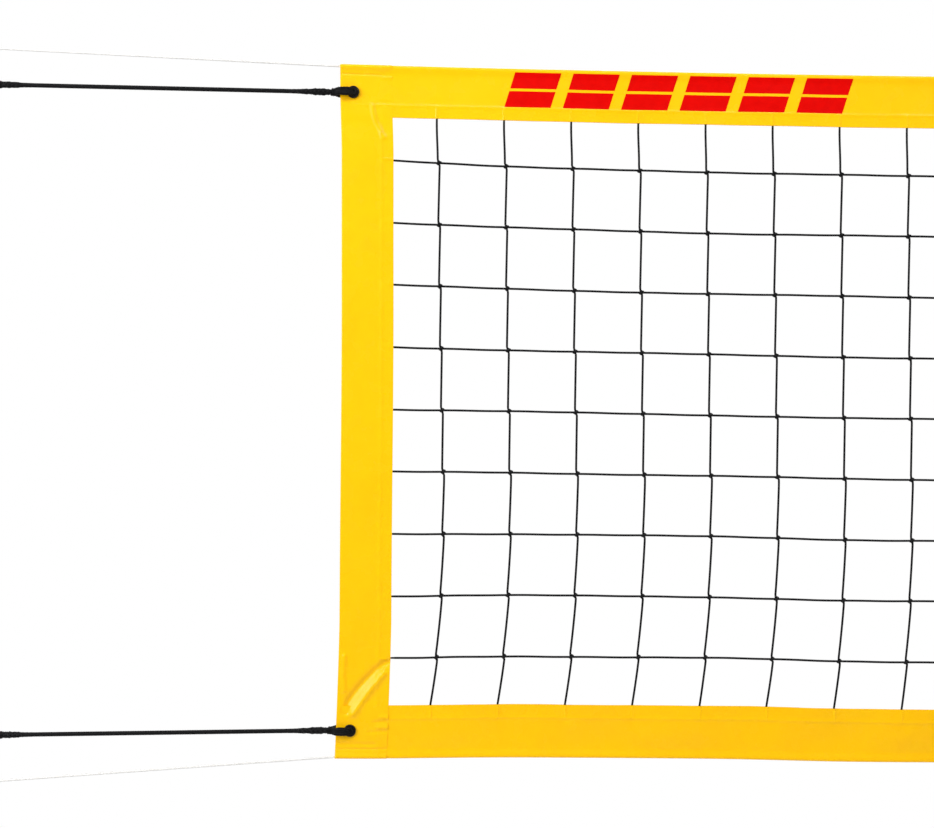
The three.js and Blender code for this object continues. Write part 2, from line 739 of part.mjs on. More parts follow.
function crankGrip() {
  const bore = SPINDLE_RADIUS + GAP;
  const near = crankFront - 2;
  const far = near - GRIP_LENGTH;
  const profile = [
    [bore, far],
    [GRIP_RADIUS - 2, far],
    [GRIP_RADIUS, far + 4],
    [GRIP_RADIUS - 1.5, (near + far) / 2],
    [GRIP_RADIUS, near - 4],
    [GRIP_RADIUS - 2, near],
    [bore, near],
    [bore, far],
  ];
  return turned(profile, 20);
}

// The pawl rests on the crest of a tooth, as it does halfway between two clicks, so the drum is
// clear of it at every angle. Behind a tooth's steep face it stops the drum from running out.
function pawl() {
  const [px, pz] = PAWL_PIVOT;
  const crest = RATCHET_TIP + 2 * GAP;
  const outline = [
    [1, crest],
    [8, crest + 1],
    [px - 2, pz - 7],
    [px + 6, pz - 3],
    [px + 6, pz + 4],
    [px - 1, pz + 7],
    [6, crest + 10],
    [1, crest + 5],
  ];
  const lever = plate(outline, [DRUM_BACK + GAP, RATCHET_BACK]);
  return cut(lever, [rod([px, 0, pz], [px, 2 * RATCHET_BACK, pz], PAWL_PIN_RADIUS + GAP)]);
}

function pawlPin() {
  const [px, pz] = PAWL_PIVOT;
  const front = DRUM_BACK - 4;
  const behind = CHEEK_INNER + CHEEK_THICKNESS + GAP;
  return joined([
    rod([px, front, pz], [px, behind + 3, pz], PAWL_PIN_RADIUS),
    rod([px, front, pz], [px, front + 3, pz], PAWL_PIN_HEAD),
    rod([px, behind, pz], [px, behind + 3, pz], PAWL_PIN_HEAD),
  ]);
}

// ---------------------------------------------------------------- the hem lines

// An eye in the line's end, round the near side of an eye bolt's ring.
const LINE_LOOP = EYE_WIRE + GAP + LINE_RADIUS + 0.7;

function lineLoop(side, z) {
  const x = side * (halfNet + lineReach);
  return ring(LINE_LOOP, LINE_RADIUS, 12).rotateX(Math.PI / 2).translate(x, 0, z);
}

// The stretch inside the hem, as points that follow the band's edge.
function inHem(edge, offset) {
  const points = [];
  for (let i = 0; i <= SAG_STEPS; i++) {
    const x = -halfNet + (NET_LENGTH * i) / SAG_STEPS;
    points.push([x, 0, edge(x) + offset]);
  }
  return points;
}

// A line whose section stands at each of the points, however unevenly they are spaced.
function lineThrough(points) {
  const curve = smooth(points);
  curve.getUtoTmapping = (u) => u;
  return tube(curve, LINE_RADIUS, points.length - 1);
}

const LINE_STOP = 13.5; // where the falling line meets the turns, above the drum's axis

function topLine() {
  const hem = inHem(topEdge, upperLineZ - NET_TOP);
  const loopEdge = lineReach - LINE_LOOP;
  const start = [-halfNet - loopEdge, 0, upperLineZ + loopEdge * Math.tan(TOP_LINE_RISE)];
  const round = [];
  for (let degrees = 93; degrees >= 2; degrees -= 13) {
    const angle = THREE.MathUtils.degToRad(degrees);
    round.push([
      pulleyX + lineOnPulley * Math.cos(angle),
      0,
      pulleyZ + lineOnPulley * Math.sin(angle),
    ]);
  }
  const end = [winchX - lineOnDrum, 0, WINCH_HEIGHT + LINE_STOP];
  return joined([lineThrough([start, ...hem, ...round, end]), lineLoop(-1, topLineEyeZ)]);
}

function bottomLine() {
  const hem = inHem(bottomEdge, lowerLineZ - NET_TOP + NET_HEIGHT);
  const loopEdge = lineReach - LINE_LOOP;
  const endZ = lowerLineZ - loopEdge * Math.tan(BOTTOM_LINE_FALL);
  const route = [[-halfNet - loopEdge, 0, endZ], ...hem, [halfNet + loopEdge, 0, endZ]];
  const loops = [lineLoop(-1, bottomLineEyeZ), lineLoop(1, bottomLineEyeZ)];
  return joined([lineThrough(route), ...loops]);
}

// ---------------------------------------------------------------- assembly

const net = new THREE.Group();
net.add(mesh("netting_rows", nettingRows(), "twine"));
net.add(mesh("netting_columns", nettingColumns(), "twine"));
net.add(mesh("top_band", hemBand(topEdge, -1, upperGrommetX, upperGrommetZ), "pvc"));
net.add(mesh("bottom_band", hemBand(bottomEdge, 1, lowerGrommetX, lowerGrommetZ), "pvc"));
net.add(mesh("top_line", topLine(), "line"));
net.add(mesh("bottom_line", bottomLine(), "line"));

const sides = [
  { word: "left", sign: -1 },
  { word: "right", sign: 1 },
];
const levels = [
  { word: "upper", grommetZ: upperGrommetZ, pull: 0, tilt: -UPPER_ROPE_RISE },
  { word: "lower", grommetZ: lowerGrommetZ, pull: LOWER_SPREAD, tilt: LOWER_ROPE_FALL },
];

// An eye bolt and its lock nut, level, with the ring's centre at the given height.
function eyeBoltAt(name, sign, z) {
  const group = new THREE.Group();
  group.add(mesh(`eye_bolt_${name}`, eyeBolt(), "steel"));
  group.add(mesh(`lock_nut_${name}`, lockNut(), "steel"));
  group.position.set(sign * (poleX - POLE_RADIUS - EYE_STANDOFF), 0, z);
  group.rotation.z = sign < 0 ? Math.PI : 0;
  return group;
}

const corners = new THREE.Group();
for (const { word, sign } of sides) {
  net.add(mesh(`${word}_band`, sideBand(sign), "pvc"));
  for (const level of levels) {
    const name = `${level.word}_${word}`;
    const eyelet = mesh(`grommet_${name}`, grommet(), "eyelet");
    eyelet.position.set(sign * (upperGrommetX + level.pull), 0, level.grommetZ);
    net.add(eyelet);
    const corner = new THREE.Group();
    corner.add(mesh(`rope_${name}`, cornerRope(level.pull), "rope"));
    corner.add(mesh(`snap_hook_${name}`, snapHook(), "steel"));
    corner.add(mesh(`hook_gate_${name}`, gate(), "steel"));
    corner.position.set(sign * upperGrommetX, 0, level.grommetZ);
    corner.rotation.set(0, level.tilt, sign < 0 ? Math.PI : 0, "ZYX");
    corners.add(corner);
  }
}
corners.add(eyeBoltAt("upper_left", -1, upperEyeZ));
corners.add(eyeBoltAt("lower_left", -1, lowerEyeZ));
corners.add(eyeBoltAt("upper_right", 1, upperEyeZ));
corners.add(eyeBoltAt("lower_right", 1, lowerEyeZ));
corners.add(eyeBoltAt("top_line_left", -1, topLineEyeZ));
corners.add(eyeBoltAt("bottom_line_left", -1, bottomLineEyeZ));
corners.add(eyeBoltAt("bottom_line_right", 1, bottomLineEyeZ));

const stands = new THREE.Group();
const leftEyes = [upperEyeZ, lowerEyeZ, topLineEyeZ, bottomLineEyeZ];
const rightEyes = [upperEyeZ, lowerEyeZ, bottomLineEyeZ];
const winchScrews = [
  { word: "lower", z: -WINCH_SCREW_HALF_PITCH },
  { word: "upper", z: WINCH_SCREW_HALF_PITCH },
];
const winchFaceX = poleX + POLE_RADIUS;
const winchHoles = winchScrews.map(({ z }) => {
  const height = WINCH_HEIGHT + z;
  const start = [winchFaceX - 9, 0, height];
  return rod(start, [winchFaceX + 9, 0, height], WINCH_SCREW_RADIUS + GAP, 10);
});
stands.add(mesh("pole_left", pole(-1, leftEyes, []), "aluminium"));
stands.add(mesh("pole_right", pole(1, rightEyes, [...pulleySlots(), ...winchHoles]), "aluminium"));
for (const { word, sign } of sides) {
  stands.add(mesh(`pole_cap_${word}`, poleCap(sign), "plastic"));
  stands.add(mesh(`base_${word}`, base(sign), "coated"));
  const bolt = mesh(`cross_bolt_${word}`, crossBolt(), "steel");
  const nut = mesh(`cross_nut_${word}`, crossNut(), "steel");
  for (const piece of [bolt, nut]) {
    piece.position.set(sign * poleX, 0, CROSS_BOLT_HEIGHT);
    stands.add(piece);
  }
}

const pulley = new THREE.Group();
pulley.add(mesh("pulley_wheel", pulleyWheel(), "plastic"));
pulley.add(mesh("pulley_axle", pulleyAxle(), "steel"));
pulley.position.set(pulleyX, 0, pulleyZ);

const winch = new THREE.Group();
winch.add(mesh("winch_frame", winchFrame(), "steel"));
winch.add(mesh("winch_drum", drum(), "steel"));
winch.add(mesh("line_turns", lineTurns(), "line"));
winch.add(mesh("crank_arm", crankArm(), "steel"));
winch.add(mesh("crank_bolt", crankBolt(), "steel"));
const grip = mesh("crank_grip", crankGrip(), "plastic");
grip.position.z = -CRANK_LENGTH;
winch.add(grip);
winch.add(mesh("pawl", pawl(), "steel"));
winch.add(mesh("pawl_pin", pawlPin(), "steel"));
for (const { word, z } of winchScrews) {
  const screw = mesh(`winch_screw_${word}`, winchScrew(), "steel");
  screw.position.z = z;
  winch.add(screw);
}
winch.position.set(winchX, 0, WINCH_HEIGHT);

const assembly = new THREE.Group();
assembly.add(net, corners, stands, pulley, winch);

export default assembly;
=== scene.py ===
"""The looks of a volleyball net on two poles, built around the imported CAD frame.

Everything is in metres, in the part's own frame: +X along the net towards the pole with the winch,
-Y the net's front, +Z up.
"""
import json
import math

import bmesh
import bpy
import numpy as np
from mathutils import Matrix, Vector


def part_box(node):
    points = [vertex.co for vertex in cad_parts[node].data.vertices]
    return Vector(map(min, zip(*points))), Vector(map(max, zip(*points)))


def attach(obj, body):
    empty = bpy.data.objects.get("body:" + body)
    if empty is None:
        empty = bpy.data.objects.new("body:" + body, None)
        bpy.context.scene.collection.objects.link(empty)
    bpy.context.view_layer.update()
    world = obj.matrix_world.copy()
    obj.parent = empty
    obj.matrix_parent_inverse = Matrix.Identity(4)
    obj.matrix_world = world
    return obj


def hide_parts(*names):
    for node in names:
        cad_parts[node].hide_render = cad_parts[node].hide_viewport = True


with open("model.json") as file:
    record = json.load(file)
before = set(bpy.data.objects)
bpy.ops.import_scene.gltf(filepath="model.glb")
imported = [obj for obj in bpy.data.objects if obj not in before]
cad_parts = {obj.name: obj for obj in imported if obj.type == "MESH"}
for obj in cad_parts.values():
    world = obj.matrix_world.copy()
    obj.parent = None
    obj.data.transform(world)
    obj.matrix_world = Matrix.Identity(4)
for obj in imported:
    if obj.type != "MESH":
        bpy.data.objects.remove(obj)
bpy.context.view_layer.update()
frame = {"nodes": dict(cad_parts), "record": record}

MM = 0.001
RECORD = frame["record"]
BODY_OF = {node: body for body, nodes in RECORD["behaviour"]["bodies"].items() for node in nodes}
SLOT_OF = {row["node"]: row["material_slot"] for row in RECORD["subparts"]}
SIDES = {"left": -1, "right": 1}
CORNERS = [(level, side) for side in SIDES for level in ("upper", "lower")]
FACES = {"front": -1, "back": 1}

# -------- sizes repeated from the part

HALF_NET = 4250 * MM
NET_TOP = 2460 * MM
NET_HEIGHT = 1022 * MM
NET_BOTTOM = NET_TOP - NET_HEIGHT
TOP_SAG = 30 * MM
BOTTOM_SAG = 10 * MM
ROWS = 9
FIRST_ROW_DROP = 137.5 * MM
ROW_PITCH = 92.3 * MM
FIRST_ROW_SAG = 45 * MM
LAST_ROW_SAG = 9 * MM
COLUMNS = 84
FIRST_COLUMN = HALF_NET - 142 * MM
BAND = 75 * MM
BORDER = 59 * MM  # from a band's outer edge to the netting's border inside it
LINE_DEPTH = 3.3 * MM  # from a band's outer edge to the hem line's centre
CORNER_X = HALF_NET - 19.5 * MM  # the origin of a corner's own frame
CORNER_DROP = 41 * MM
GROMMET_PULL = {"upper": 0, "lower": 5 * MM}  # of a grommet from that origin, towards its pole
TILT = {"upper": math.radians(1.3), "lower": -math.radians(0.8)}
KNOT_X = 28 * MM  # in a corner's own frame, with no pull
ROPE_END_X = 532.9 * MM
LOOP_X = 539.9 * MM
LOOP_RADIUS = 7 * MM
HOOK_NET_X = 550.5 * MM
HOOK_POLE_X = 584.5 * MM
HOOK_BEND = 10 * MM
GATE_X = 580.6 * MM
EYE_RING = 15 * MM
EYE_WIRE = 4 * MM
EYE_X = 4832.5 * MM
EYE_SHANK_END = 41.5 * MM
LINE_RISE = {"top": math.radians(3.1), "bottom": -math.radians(4.2)}
LINE_END_X = 4810.5 * MM
POLE_X = 4900 * MM
PULLEY = np.array([4918, 0, 2464.54]) * MM
LINE_ON_PULLEY = 28.3 * MM
WINCH = np.array([5008, 0, 1150]) * MM
LINE_ON_DRUM = 20.3 * MM
LINE_MEETS_DRUM = 13.5 * MM  # above the drum's axis
CRANK_REACH = 150 * MM
CRANK_FRONT = -51 * MM
BASE_PLATE = 10 * MM  # its thickness
SOCKET = 46.5 * MM  # its radius
GUSSET_LENGTH = 186 * MM
GUSSET_HALF = 4 * MM  # half its thickness

# -------- camera

camera_data = bpy.data.cameras.new("camera")
camera_data.sensor_width = 36
camera_data.lens = 50
camera = bpy.data.objects.new("camera", camera_data)
camera.location = (-4.063, -1.913, 1.945)  # square to the net's left end, level with its middle
camera.rotation_euler = (math.pi / 2, 0, 0)
bpy.context.scene.collection.objects.link(camera)
bpy.context.scene.camera = camera

# -------- curves and skins


def smoothstep(low, high, x):
    t = np.clip((x - low) / (high - low), 0, 1)
    return t * t * (3 - 2 * t)


def hill(x, width):
    """1 at x = 0, and nothing past a few widths."""
    return np.exp(-np.square(x / width))


def points_at(x, y, z):
    """Points from three coordinates, of which some are the same for all."""
    return np.stack(np.broadcast_arrays(x, y, z), axis=-1)


def distances(path):
    return np.concatenate([[0], np.cumsum(np.linalg.norm(np.diff(path, axis=0), axis=1))])


def along(path, at):
    """Points on a polyline at the given distances from its start."""
    path = np.asarray(path, float)
    run = distances(path)
    return np.stack([np.interp(at, run, path[:, axis]) for axis in range(3)], axis=1)


def evenly(path, step):
    length = distances(np.asarray(path, float))[-1]
    return along(path, np.linspace(0, length, max(2, int(round(length / step)) + 1)))


def spline(points, per_span=12):
    """A smooth curve through the points."""
    p = np.asarray(points, float)
    p = np.concatenate([[2 * p[0] - p[1]], p, [2 * p[-1] - p[-2]]])
    spans = []
    for a, b, c, d in zip(p, p[1:], p[2:], p[3:]):
        t = np.linspace(0, 1, per_span, endpoint=False)[:, None]
        spans.append(
            0.5 * (2 * b + (c - a) * t + (2 * a - 5 * b + 4 * c - d) * t**2
                   + (3 * b - a - 3 * c + d) * t**3)
        )
    return np.concatenate([*spans, [p[-2]]])


def arc(centre, radius, first, last, steps):
    """Points on an arc in the XZ plane, from one angle to another in degrees."""
    a = np.radians(np.linspace(first, last, steps + 1))
    return points_at(centre[0] + radius * np.cos(a), centre[1], centre[2] + radius * np.sin(a))


def circle(steps, closed=False):
    """Angles round a circle. A closed one comes back to its first point."""
    return np.linspace(0, 2 * math.pi, steps, endpoint=closed)


def frames(path):
    """Two unit vectors across the path at each point, which turn as little as they can."""
    t = np.gradient(path, axis=0)
    t /= np.linalg.norm(t, axis=1)[:, None]
    side = np.empty_like(t)
    last = np.cross(t[0], (0.0, 0.0, 1.0) if abs(t[0][2]) < 0.9 else (0.0, 1.0, 0.0))
    for i, tangent in enumerate(t):
        last = last - np.dot(last, tangent) * tangent
        last = last / np.linalg.norm(last)
        side[i] = last
    return side, np.cross(t, side)


class Shape:
    """The points and faces of one piece, gathered skin by skin."""

    def __init__(self):
        self.points = []
        self.quads = []
        self.triangles = []
        self.count = 0

    def loft(self, rings, loop=False):
        """A closed skin over rings of points: capped at both ends, or joined end to end."""
        rings = np.asarray(rings, float)
        n, m = rings.shape[:2]
        points = rings.reshape(-1, 3)
        index = np.arange(n * m).reshape(n, m)
        lower, upper = (index, np.roll(index, -1, axis=0)) if loop else (index[:-1], index[1:])
        quads = np.stack([lower, np.roll(lower, -1, 1), np.roll(upper, -1, 1), upper], axis=-1)
        quads = quads.reshape(-1, 4)
        triangles = np.zeros((0, 3), int)
        if not loop:
            points = np.concatenate([points, rings[[0, -1]].mean(axis=1)])
            start = [np.full(m, n * m), np.roll(index[0], -1), index[0]]
            end = [np.full(m, n * m + 1), index[-1], np.roll(index[-1], -1)]
            triangles = np.concatenate([np.stack(start, -1), np.stack(end, -1)])
        split = np.concatenate([quads[:, [0, 1, 2]], quads[:, [0, 2, 3]], triangles])
        a, b, c = (points[split[:, k]] - points.mean(axis=0) for k in range(3))
        if np.einsum("ij,ij->", a, np.cross(b, c)) < 0:
            quads, triangles = quads[:, ::-1], triangles[:, ::-1]
        self.points.append(points)
        self.quads.append(quads + self.count)
        self.triangles.append(triangles + self.count)
        self.count += len(points)
        return self

    def sweep(self, path, radius, sides=12, loop=False, squeeze=1.0, across=None):
        """A tube along a path. squeeze flattens its section along the first vector across."""
        path = np.asarray(path, float)
        side, up = frames(path) if across is None else across
        angle = circle(sides)[None, :, None]
        r = np.broadcast_to(np.asarray(radius, float).reshape(-1, 1, 1), (len(path), 1, 1))
        reach = squeeze * r * np.cos(angle) * side[:, None] + r * np.sin(angle) * up[:, None]
        return self.loft(path[:, None] + reach, loop)

    def rod(self, path, radius, sides=16, step=2 * MM):
        """A tube with rounded ends."""
        run = distances(np.asarray(path, float))[-1]
        dome = np.radians([6, 25, 45, 65, 90])
        start = radius * (1 - np.cos(dome))
        middle = np.arange(radius + step, run - radius - step / 2, step)
        at = np.concatenate([start, middle, (run - start)[::-1]])
        swell = np.concatenate([np.sin(dome), np.ones(len(middle)), np.sin(dome)[::-1]])
        return self.sweep(along(path, at), radius * swell, sides)

    def turned(self, profile, sides, centre, loop=False, axis="Y"):
        """A profile of (radius, height) points turned about an X or Y axis through the centre."""
        angle = circle(sides)
        rings = []
        for radius, height in profile:
            u, v = radius * np.cos(angle), radius * np.sin(angle)
            ring = points_at(height, u, v) if axis == "X" else points_at(v, height, u)
            rings.append(ring + np.asarray(centre, float))
        return self.loft(rings, loop)

    def braid(self, path, radius, strands, pitch, width, thick):
        """Strands that wind both ways round a path, over and under each other."""
        run = distances(np.asarray(path, float))[-1]
        at = np.linspace(0, run, int(run / (pitch / strands / 3)) + 2)
        line = along(path, at)
        side, up = frames(line)
        reach = radius(at) if callable(radius) else np.full(len(at), radius)
        for way in (1, -1):
            weave = way * 0.45 * thick * np.cos(2 * math.pi * at * strands / pitch)
            for strand in range(strands):
                a = way * 2 * math.pi * at / pitch + 2 * math.pi * strand / strands
                out = np.cos(a)[:, None] * side + np.sin(a)[:, None] * up
                centre = line + (reach - thick + weave)[:, None] * out
                t = np.gradient(centre, axis=0)
                t /= np.linalg.norm(t, axis=1)[:, None]
                self.sweep(centre, width, 6, squeeze=thick / width, across=(out, np.cross(t, out)))
        return self

    def placed(self, matrix):
        turn = np.array(matrix.to_3x3())
        move = np.array(matrix.translation)
        self.points = [points @ turn.T + move for points in self.points]
        return self

    def mesh(self, name, sharp=40):
        points = np.concatenate(self.points)
        quads, triangles = np.concatenate(self.quads), np.concatenate(self.triangles)
        mesh = bpy.data.meshes.new(name)
        mesh.vertices.add(len(points))
        mesh.vertices.foreach_set("co", points.astype(np.float32).ravel())
        corners = np.concatenate([quads.ravel(), triangles.ravel()])
        mesh.loops.add(len(corners))
        mesh.loops.foreach_set("vertex_index", corners.astype(np.int32))
        starts = [4 * np.arange(len(quads)), 4 * len(quads) + 3 * np.arange(len(triangles))]
        mesh.polygons.add(len(quads) + len(triangles))
        mesh.polygons.foreach_set("loop_start", np.concatenate(starts).astype(np.int32))
        mesh.update(calc_edges=True)
        mesh.shade_smooth()
        mesh.set_sharp_from_angle(angle=math.radians(sharp))
        return mesh


# -------- materials


class Finish:
    """A Principled material, and the nodes that feed it."""

    def __init__(self, name, colour, roughness, metallic=0.0, specular=0.5):
        self.material = bpy.data.materials.new(name)
        self.material.use_nodes = True
        self.tree = self.material.node_tree
        self.shader = self.tree.nodes["Principled BSDF"]
        self.shader.inputs["Base Color"].default_value = (*colour, 1)
        self.shader.inputs["Roughness"].default_value = roughness
        self.shader.inputs["Metallic"].default_value = metallic
        self.shader.inputs["Specular IOR Level"].default_value = specular
        self.colour = colour
        self.place = self.tree.nodes.new("ShaderNodeTexCoord").outputs["Object"]
        self.normal = None

    def plug(self, socket, value):
        if isinstance(value, bpy.types.NodeSocket):
            self.tree.links.new(value, socket)
        else:
            socket.default_value = value

    def node(self, kind, **inputs):
        """A new node with its inputs set. An underscore in a name stands for a space."""
        node = self.tree.nodes.new(f"ShaderNode{kind}")
        for name, value in inputs.items():
            self.plug(node.inputs[name.replace("_", " ")], value)
        return node

    def scaled(self, scale, turn=(0, 0, 0)):
        node = self.node("Mapping", Vector=self.place, Scale=scale, Rotation=turn)
        return node.outputs["Vector"]

    def noise(self, scale, detail, stretch):
        place = self.scaled([scale * k for k in stretch])
        return self.node("TexNoise", Vector=place, Scale=1, Detail=detail).outputs["Fac"]

    def wave(self, period, turn=(0, 0, 0)):
        """Bands across the X axis, one to a period."""
        scale = 2 * math.pi / period / 20
        node = self.node("TexWave", Vector=self.scaled((scale, scale, scale), turn), Scale=1)
        node.wave_profile = "SIN"
        node.bands_direction = "X"
        return node.outputs["Fac"]

    def blend(self, factor, low, high):
        """A value from low to high as the factor goes from 0.3 to 0.7."""
        node = self.node("MapRange", Value=factor, From_Min=0.3, From_Max=0.7, To_Min=low, To_Max=high)
        return node.outputs["Result"]

    def tinted(self, scale, other, share, detail=3.0, stretch=(1, 1, 1)):
        """The colour goes part of the way to the other one, in clouds."""
        node = self.node("Mix")
        node.data_type = "RGBA"
        base = self.shader.inputs["Base Color"]
        before = base.links[0].from_socket if base.is_linked else (*self.colour, 1)
        self.plug(node.inputs[0], self.blend(self.noise(scale, detail, stretch), 0, share))
        self.plug(node.inputs[6], before)
        self.plug(node.inputs[7], (*other, 1))
        self.plug(base, node.outputs[2])

    def rough(self, scale, low, high, detail=3.0, stretch=(1, 1, 1)):
        """The roughness goes from low to high, in clouds."""
        cloud = self.blend(self.noise(scale, detail, stretch), low, high)
        self.plug(self.shader.inputs["Roughness"], cloud)

    def pitted(self, scale, distance, strength, detail=3.0, stretch=(1, 1, 1)):
        self.bumped(self.noise(scale, detail, stretch), distance, strength)

    def bumped(self, height, distance, strength):
        node = self.node("Bump", Strength=strength, Distance=distance, Height=height)
        if self.normal is not None:
            self.plug(node.inputs["Normal"], self.normal)
        self.normal = node.outputs["Normal"]
        self.plug(self.shader.inputs["Normal"], self.normal)


QUARTER = math.pi / 4
SCRIM = 1.1 * MM  # the pitch of the tapes' woven core


def pvc():
    """Glossy tarpaulin: a faint woven scrim shows through, and the pigment clouds a little."""
    finish = Finish("yellow_pvc", (0.92, 0.5, 0.0), 0.27, specular=0.18)
    finish.tinted(9, (0.92, 0.46, 0.0), 0.6)
    finish.tinted(60, (0.92, 0.53, 0.0), 0.4)
    finish.rough(35, 0.2, 0.32)
    finish.bumped(finish.wave(SCRIM), 0.02 * MM, 0.35)
    finish.bumped(finish.wave(SCRIM, (0, 2 * QUARTER, 0)), 0.02 * MM, 0.35)
    finish.pitted(70, 0.25 * MM, 0.4, 2)
    return finish


def print_ink():
    finish = Finish("red_print", (0.66, 0.002, 0.001), 0.35, specular=0.03)
    finish.tinted(80, (0.56, 0.0015, 0.001), 0.6)
    finish.rough(60, 0.28, 0.42)
    finish.bumped(finish.wave(SCRIM), 0.02 * MM, 0.3)
    finish.pitted(600, 0.03 * MM, 0.4)
    return finish


def twine():
    """Twisted polyethylene, nearly black."""
    finish = Finish("black_twine", (0.003, 0.003, 0.0036), 0.55, specular=0.1)
    finish.tinted(900, (0.008, 0.008, 0.009), 0.7, 2)
    finish.rough(300, 0.45, 0.65)
    finish.bumped(finish.wave(1.7 * MM, (0, QUARTER, 0)), 0.3 * MM, 0.6)
    return finish


def light_line():
    finish = Finish("light_line", (0.8, 0.79, 0.77), 0.55, specular=0.3)
    finish.tinted(300, (0.66, 0.65, 0.63), 0.6)
    finish.rough(200, 0.45, 0.65)
    for turn in (QUARTER, -QUARTER):
        finish.bumped(finish.wave(1.5 * MM, (0, turn, 0)), 0.25 * MM, 0.7)
    return finish


def rope():
    finish = Finish("black_rope", (0.003, 0.003, 0.0035), 0.45, specular=0.09)
    finish.tinted(700, (0.009, 0.009, 0.01), 0.6, 2)
    finish.rough(500, 0.36, 0.56)
    finish.pitted(2600, 0.12 * MM, 0.7, 2, (1, 4, 4))
    return finish


def eyelet():
    finish = Finish("black_eyelet", (0.004, 0.0035, 0.004), 0.35, specular=0.2)
    finish.tinted(700, (0.012, 0.011, 0.011), 0.5)
    finish.rough(500, 0.26, 0.44)
    finish.pitted(1500, 0.03 * MM, 0.5)
    return finish


def stainless():
    finish = Finish("stainless_steel", (0.5, 0.495, 0.49), 0.26, metallic=1.0)
    finish.tinted(120, (0.4, 0.395, 0.39), 0.6)
    finish.rough(250, 0.2, 0.34, 4, (1, 1, 3))
    finish.pitted(500, 0.02 * MM, 0.25, 2)
    return finish


def aluminium():
    """Anodised tube, drawn along its length."""
    finish = Finish("aluminium_tube", (0.75, 0.76, 0.77), 0.34, metallic=1.0)
    finish.tinted(14, (0.62, 0.63, 0.65), 0.6, 4, (1, 1, 0.15))
    finish.rough(900, 0.26, 0.44, 4, (1, 1, 0.02))
    finish.pitted(1600, 0.03 * MM, 0.35, 3, (1, 1, 0.01))
    return finish


def powder_coat():
    finish = Finish("coated_steel", (0.028, 0.031, 0.036), 0.5)
    finish.tinted(25, (0.045, 0.048, 0.054), 0.7)
    finish.rough(60, 0.42, 0.6)
    finish.pitted(900, 0.12 * MM, 0.7, 2)
    return finish


def zinc():
    """Zinc plating, with its faint cloudy spangle."""
    finish = Finish("zinc_steel", (0.6, 0.61, 0.62), 0.34, metallic=1.0)
    finish.tinted(90, (0.46, 0.48, 0.5), 0.8)
    finish.rough(160, 0.24, 0.45)
    finish.pitted(1200, 0.04 * MM, 0.5)
    return finish


def plastic():
    finish = Finish("black_plastic", (0.02, 0.02, 0.022), 0.5)
    finish.tinted(50, (0.032, 0.032, 0.035), 0.7)
    finish.rough(400, 0.42, 0.62)
    finish.pitted(2000, 0.05 * MM, 0.5)
    return finish


FINISHES = {
    "yellow_pvc": pvc(),
    "black_twine": twine(),
    "light_line": light_line(),
    "black_rope": rope(),
    "black_eyelet": eyelet(),
    "stainless_steel": stainless(),
    "aluminium_tube": aluminium(),
    "coated_steel": powder_coat(),
    "zinc_steel": zinc(),
    "black_plastic": plastic(),
}
RED_PRINT = print_ink()


def show(shape, name, node, replaces=True, finish=None):
    """Puts a shape or a mesh in the scene, with the finish and the body of a CAD node."""
    mesh = shape.mesh(name) if isinstance(shape, Shape) else shape
    piece = bpy.data.objects.new(name, mesh)
    bpy.context.scene.collection.objects.link(piece)
    mesh.materials.clear()
    mesh.materials.append((finish or FINISHES[SLOT_OF[node]]).material)
    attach(piece, BODY_OF[node])
    if replaces:
        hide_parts(node)
    return piece


SHARP_EDGE = math.radians(38)


def finished_copy(node, bevel):
    """A hard part as its CAD node has it, with its flat faces merged and its edges broken."""
    mesh = frame["nodes"][node].data.copy()
    solid = bmesh.new()
    solid.from_mesh(mesh)
    bmesh.ops.remove_doubles(solid, verts=solid.verts, dist=0.01 * MM)
    bmesh.ops.dissolve_limit(
        solid, angle_limit=math.radians(1), verts=solid.verts, edges=solid.edges
    )
    solid.to_mesh(mesh)
    solid.free()
    mesh.shade_smooth()
    mesh.set_sharp_from_angle(angle=SHARP_EDGE)
    piece = show(mesh, f"{node}_finished", node)
    rounding = piece.modifiers.new("broken_edges", "BEVEL")
    rounding.width = bevel
    rounding.segments = 2
    rounding.limit_method = "ANGLE"
    rounding.angle_limit = SHARP_EDGE
    rounding.harden_normals = True


# -------- corner ropes


def corner_matrix(level, side):
    """From a corner's own frame, with +X towards its pole, to the part's."""
    height = NET_TOP - CORNER_DROP if level == "upper" else NET_BOTTOM + CORNER_DROP
    turn = Matrix.Rotation(math.pi if side == "left" else 0, 4, "Z")
    tilt = Matrix.Rotation(-TILT[level], 4, "Y")
    return Matrix.Translation((SIDES[side] * CORNER_X, 0, height)) @ turn @ tilt


def straight(start, end):
    return evenly([(start, 0, 0), (end, 0, 0)], 1 * MM)


def rope_body(knot):
    """The braided rope, taut from its knot to the eye on the hook."""
    shape = Shape()
    line = straight(knot, ROPE_END_X)
    shape.braid(line, 3.15 * MM, strands=6, pitch=22 * MM, width=0.98 * MM, thick=0.62 * MM)
    return shape.sweep(line[::4], 2.1 * MM, 12)


def rope_splice(start, end, seed):
    """Where the rope's end is tucked back into it: thick and lumpy, then tapering away."""
    run = abs(end - start)

    def radius(at):
        swell = smoothstep(0, 0.12 * run, at) * (1 - smoothstep(0.3 * run, 0.97 * run, at))
        lumps = 0.35 * np.sin(at / (2.1 * MM) + seed) + 0.3 * np.sin(at / (3.9 * MM) + 2 * seed)
        return (3.25 + (1.75 + lumps) * swell) * MM

    shape = Shape()
    line = straight(start, end)
    shape.braid(line, radius, strands=4, pitch=26 * MM, width=1.75 * MM, thick=0.85 * MM)
    return shape.sweep(line[::2], radius(distances(line[::2])) - 1.0 * MM, 12)


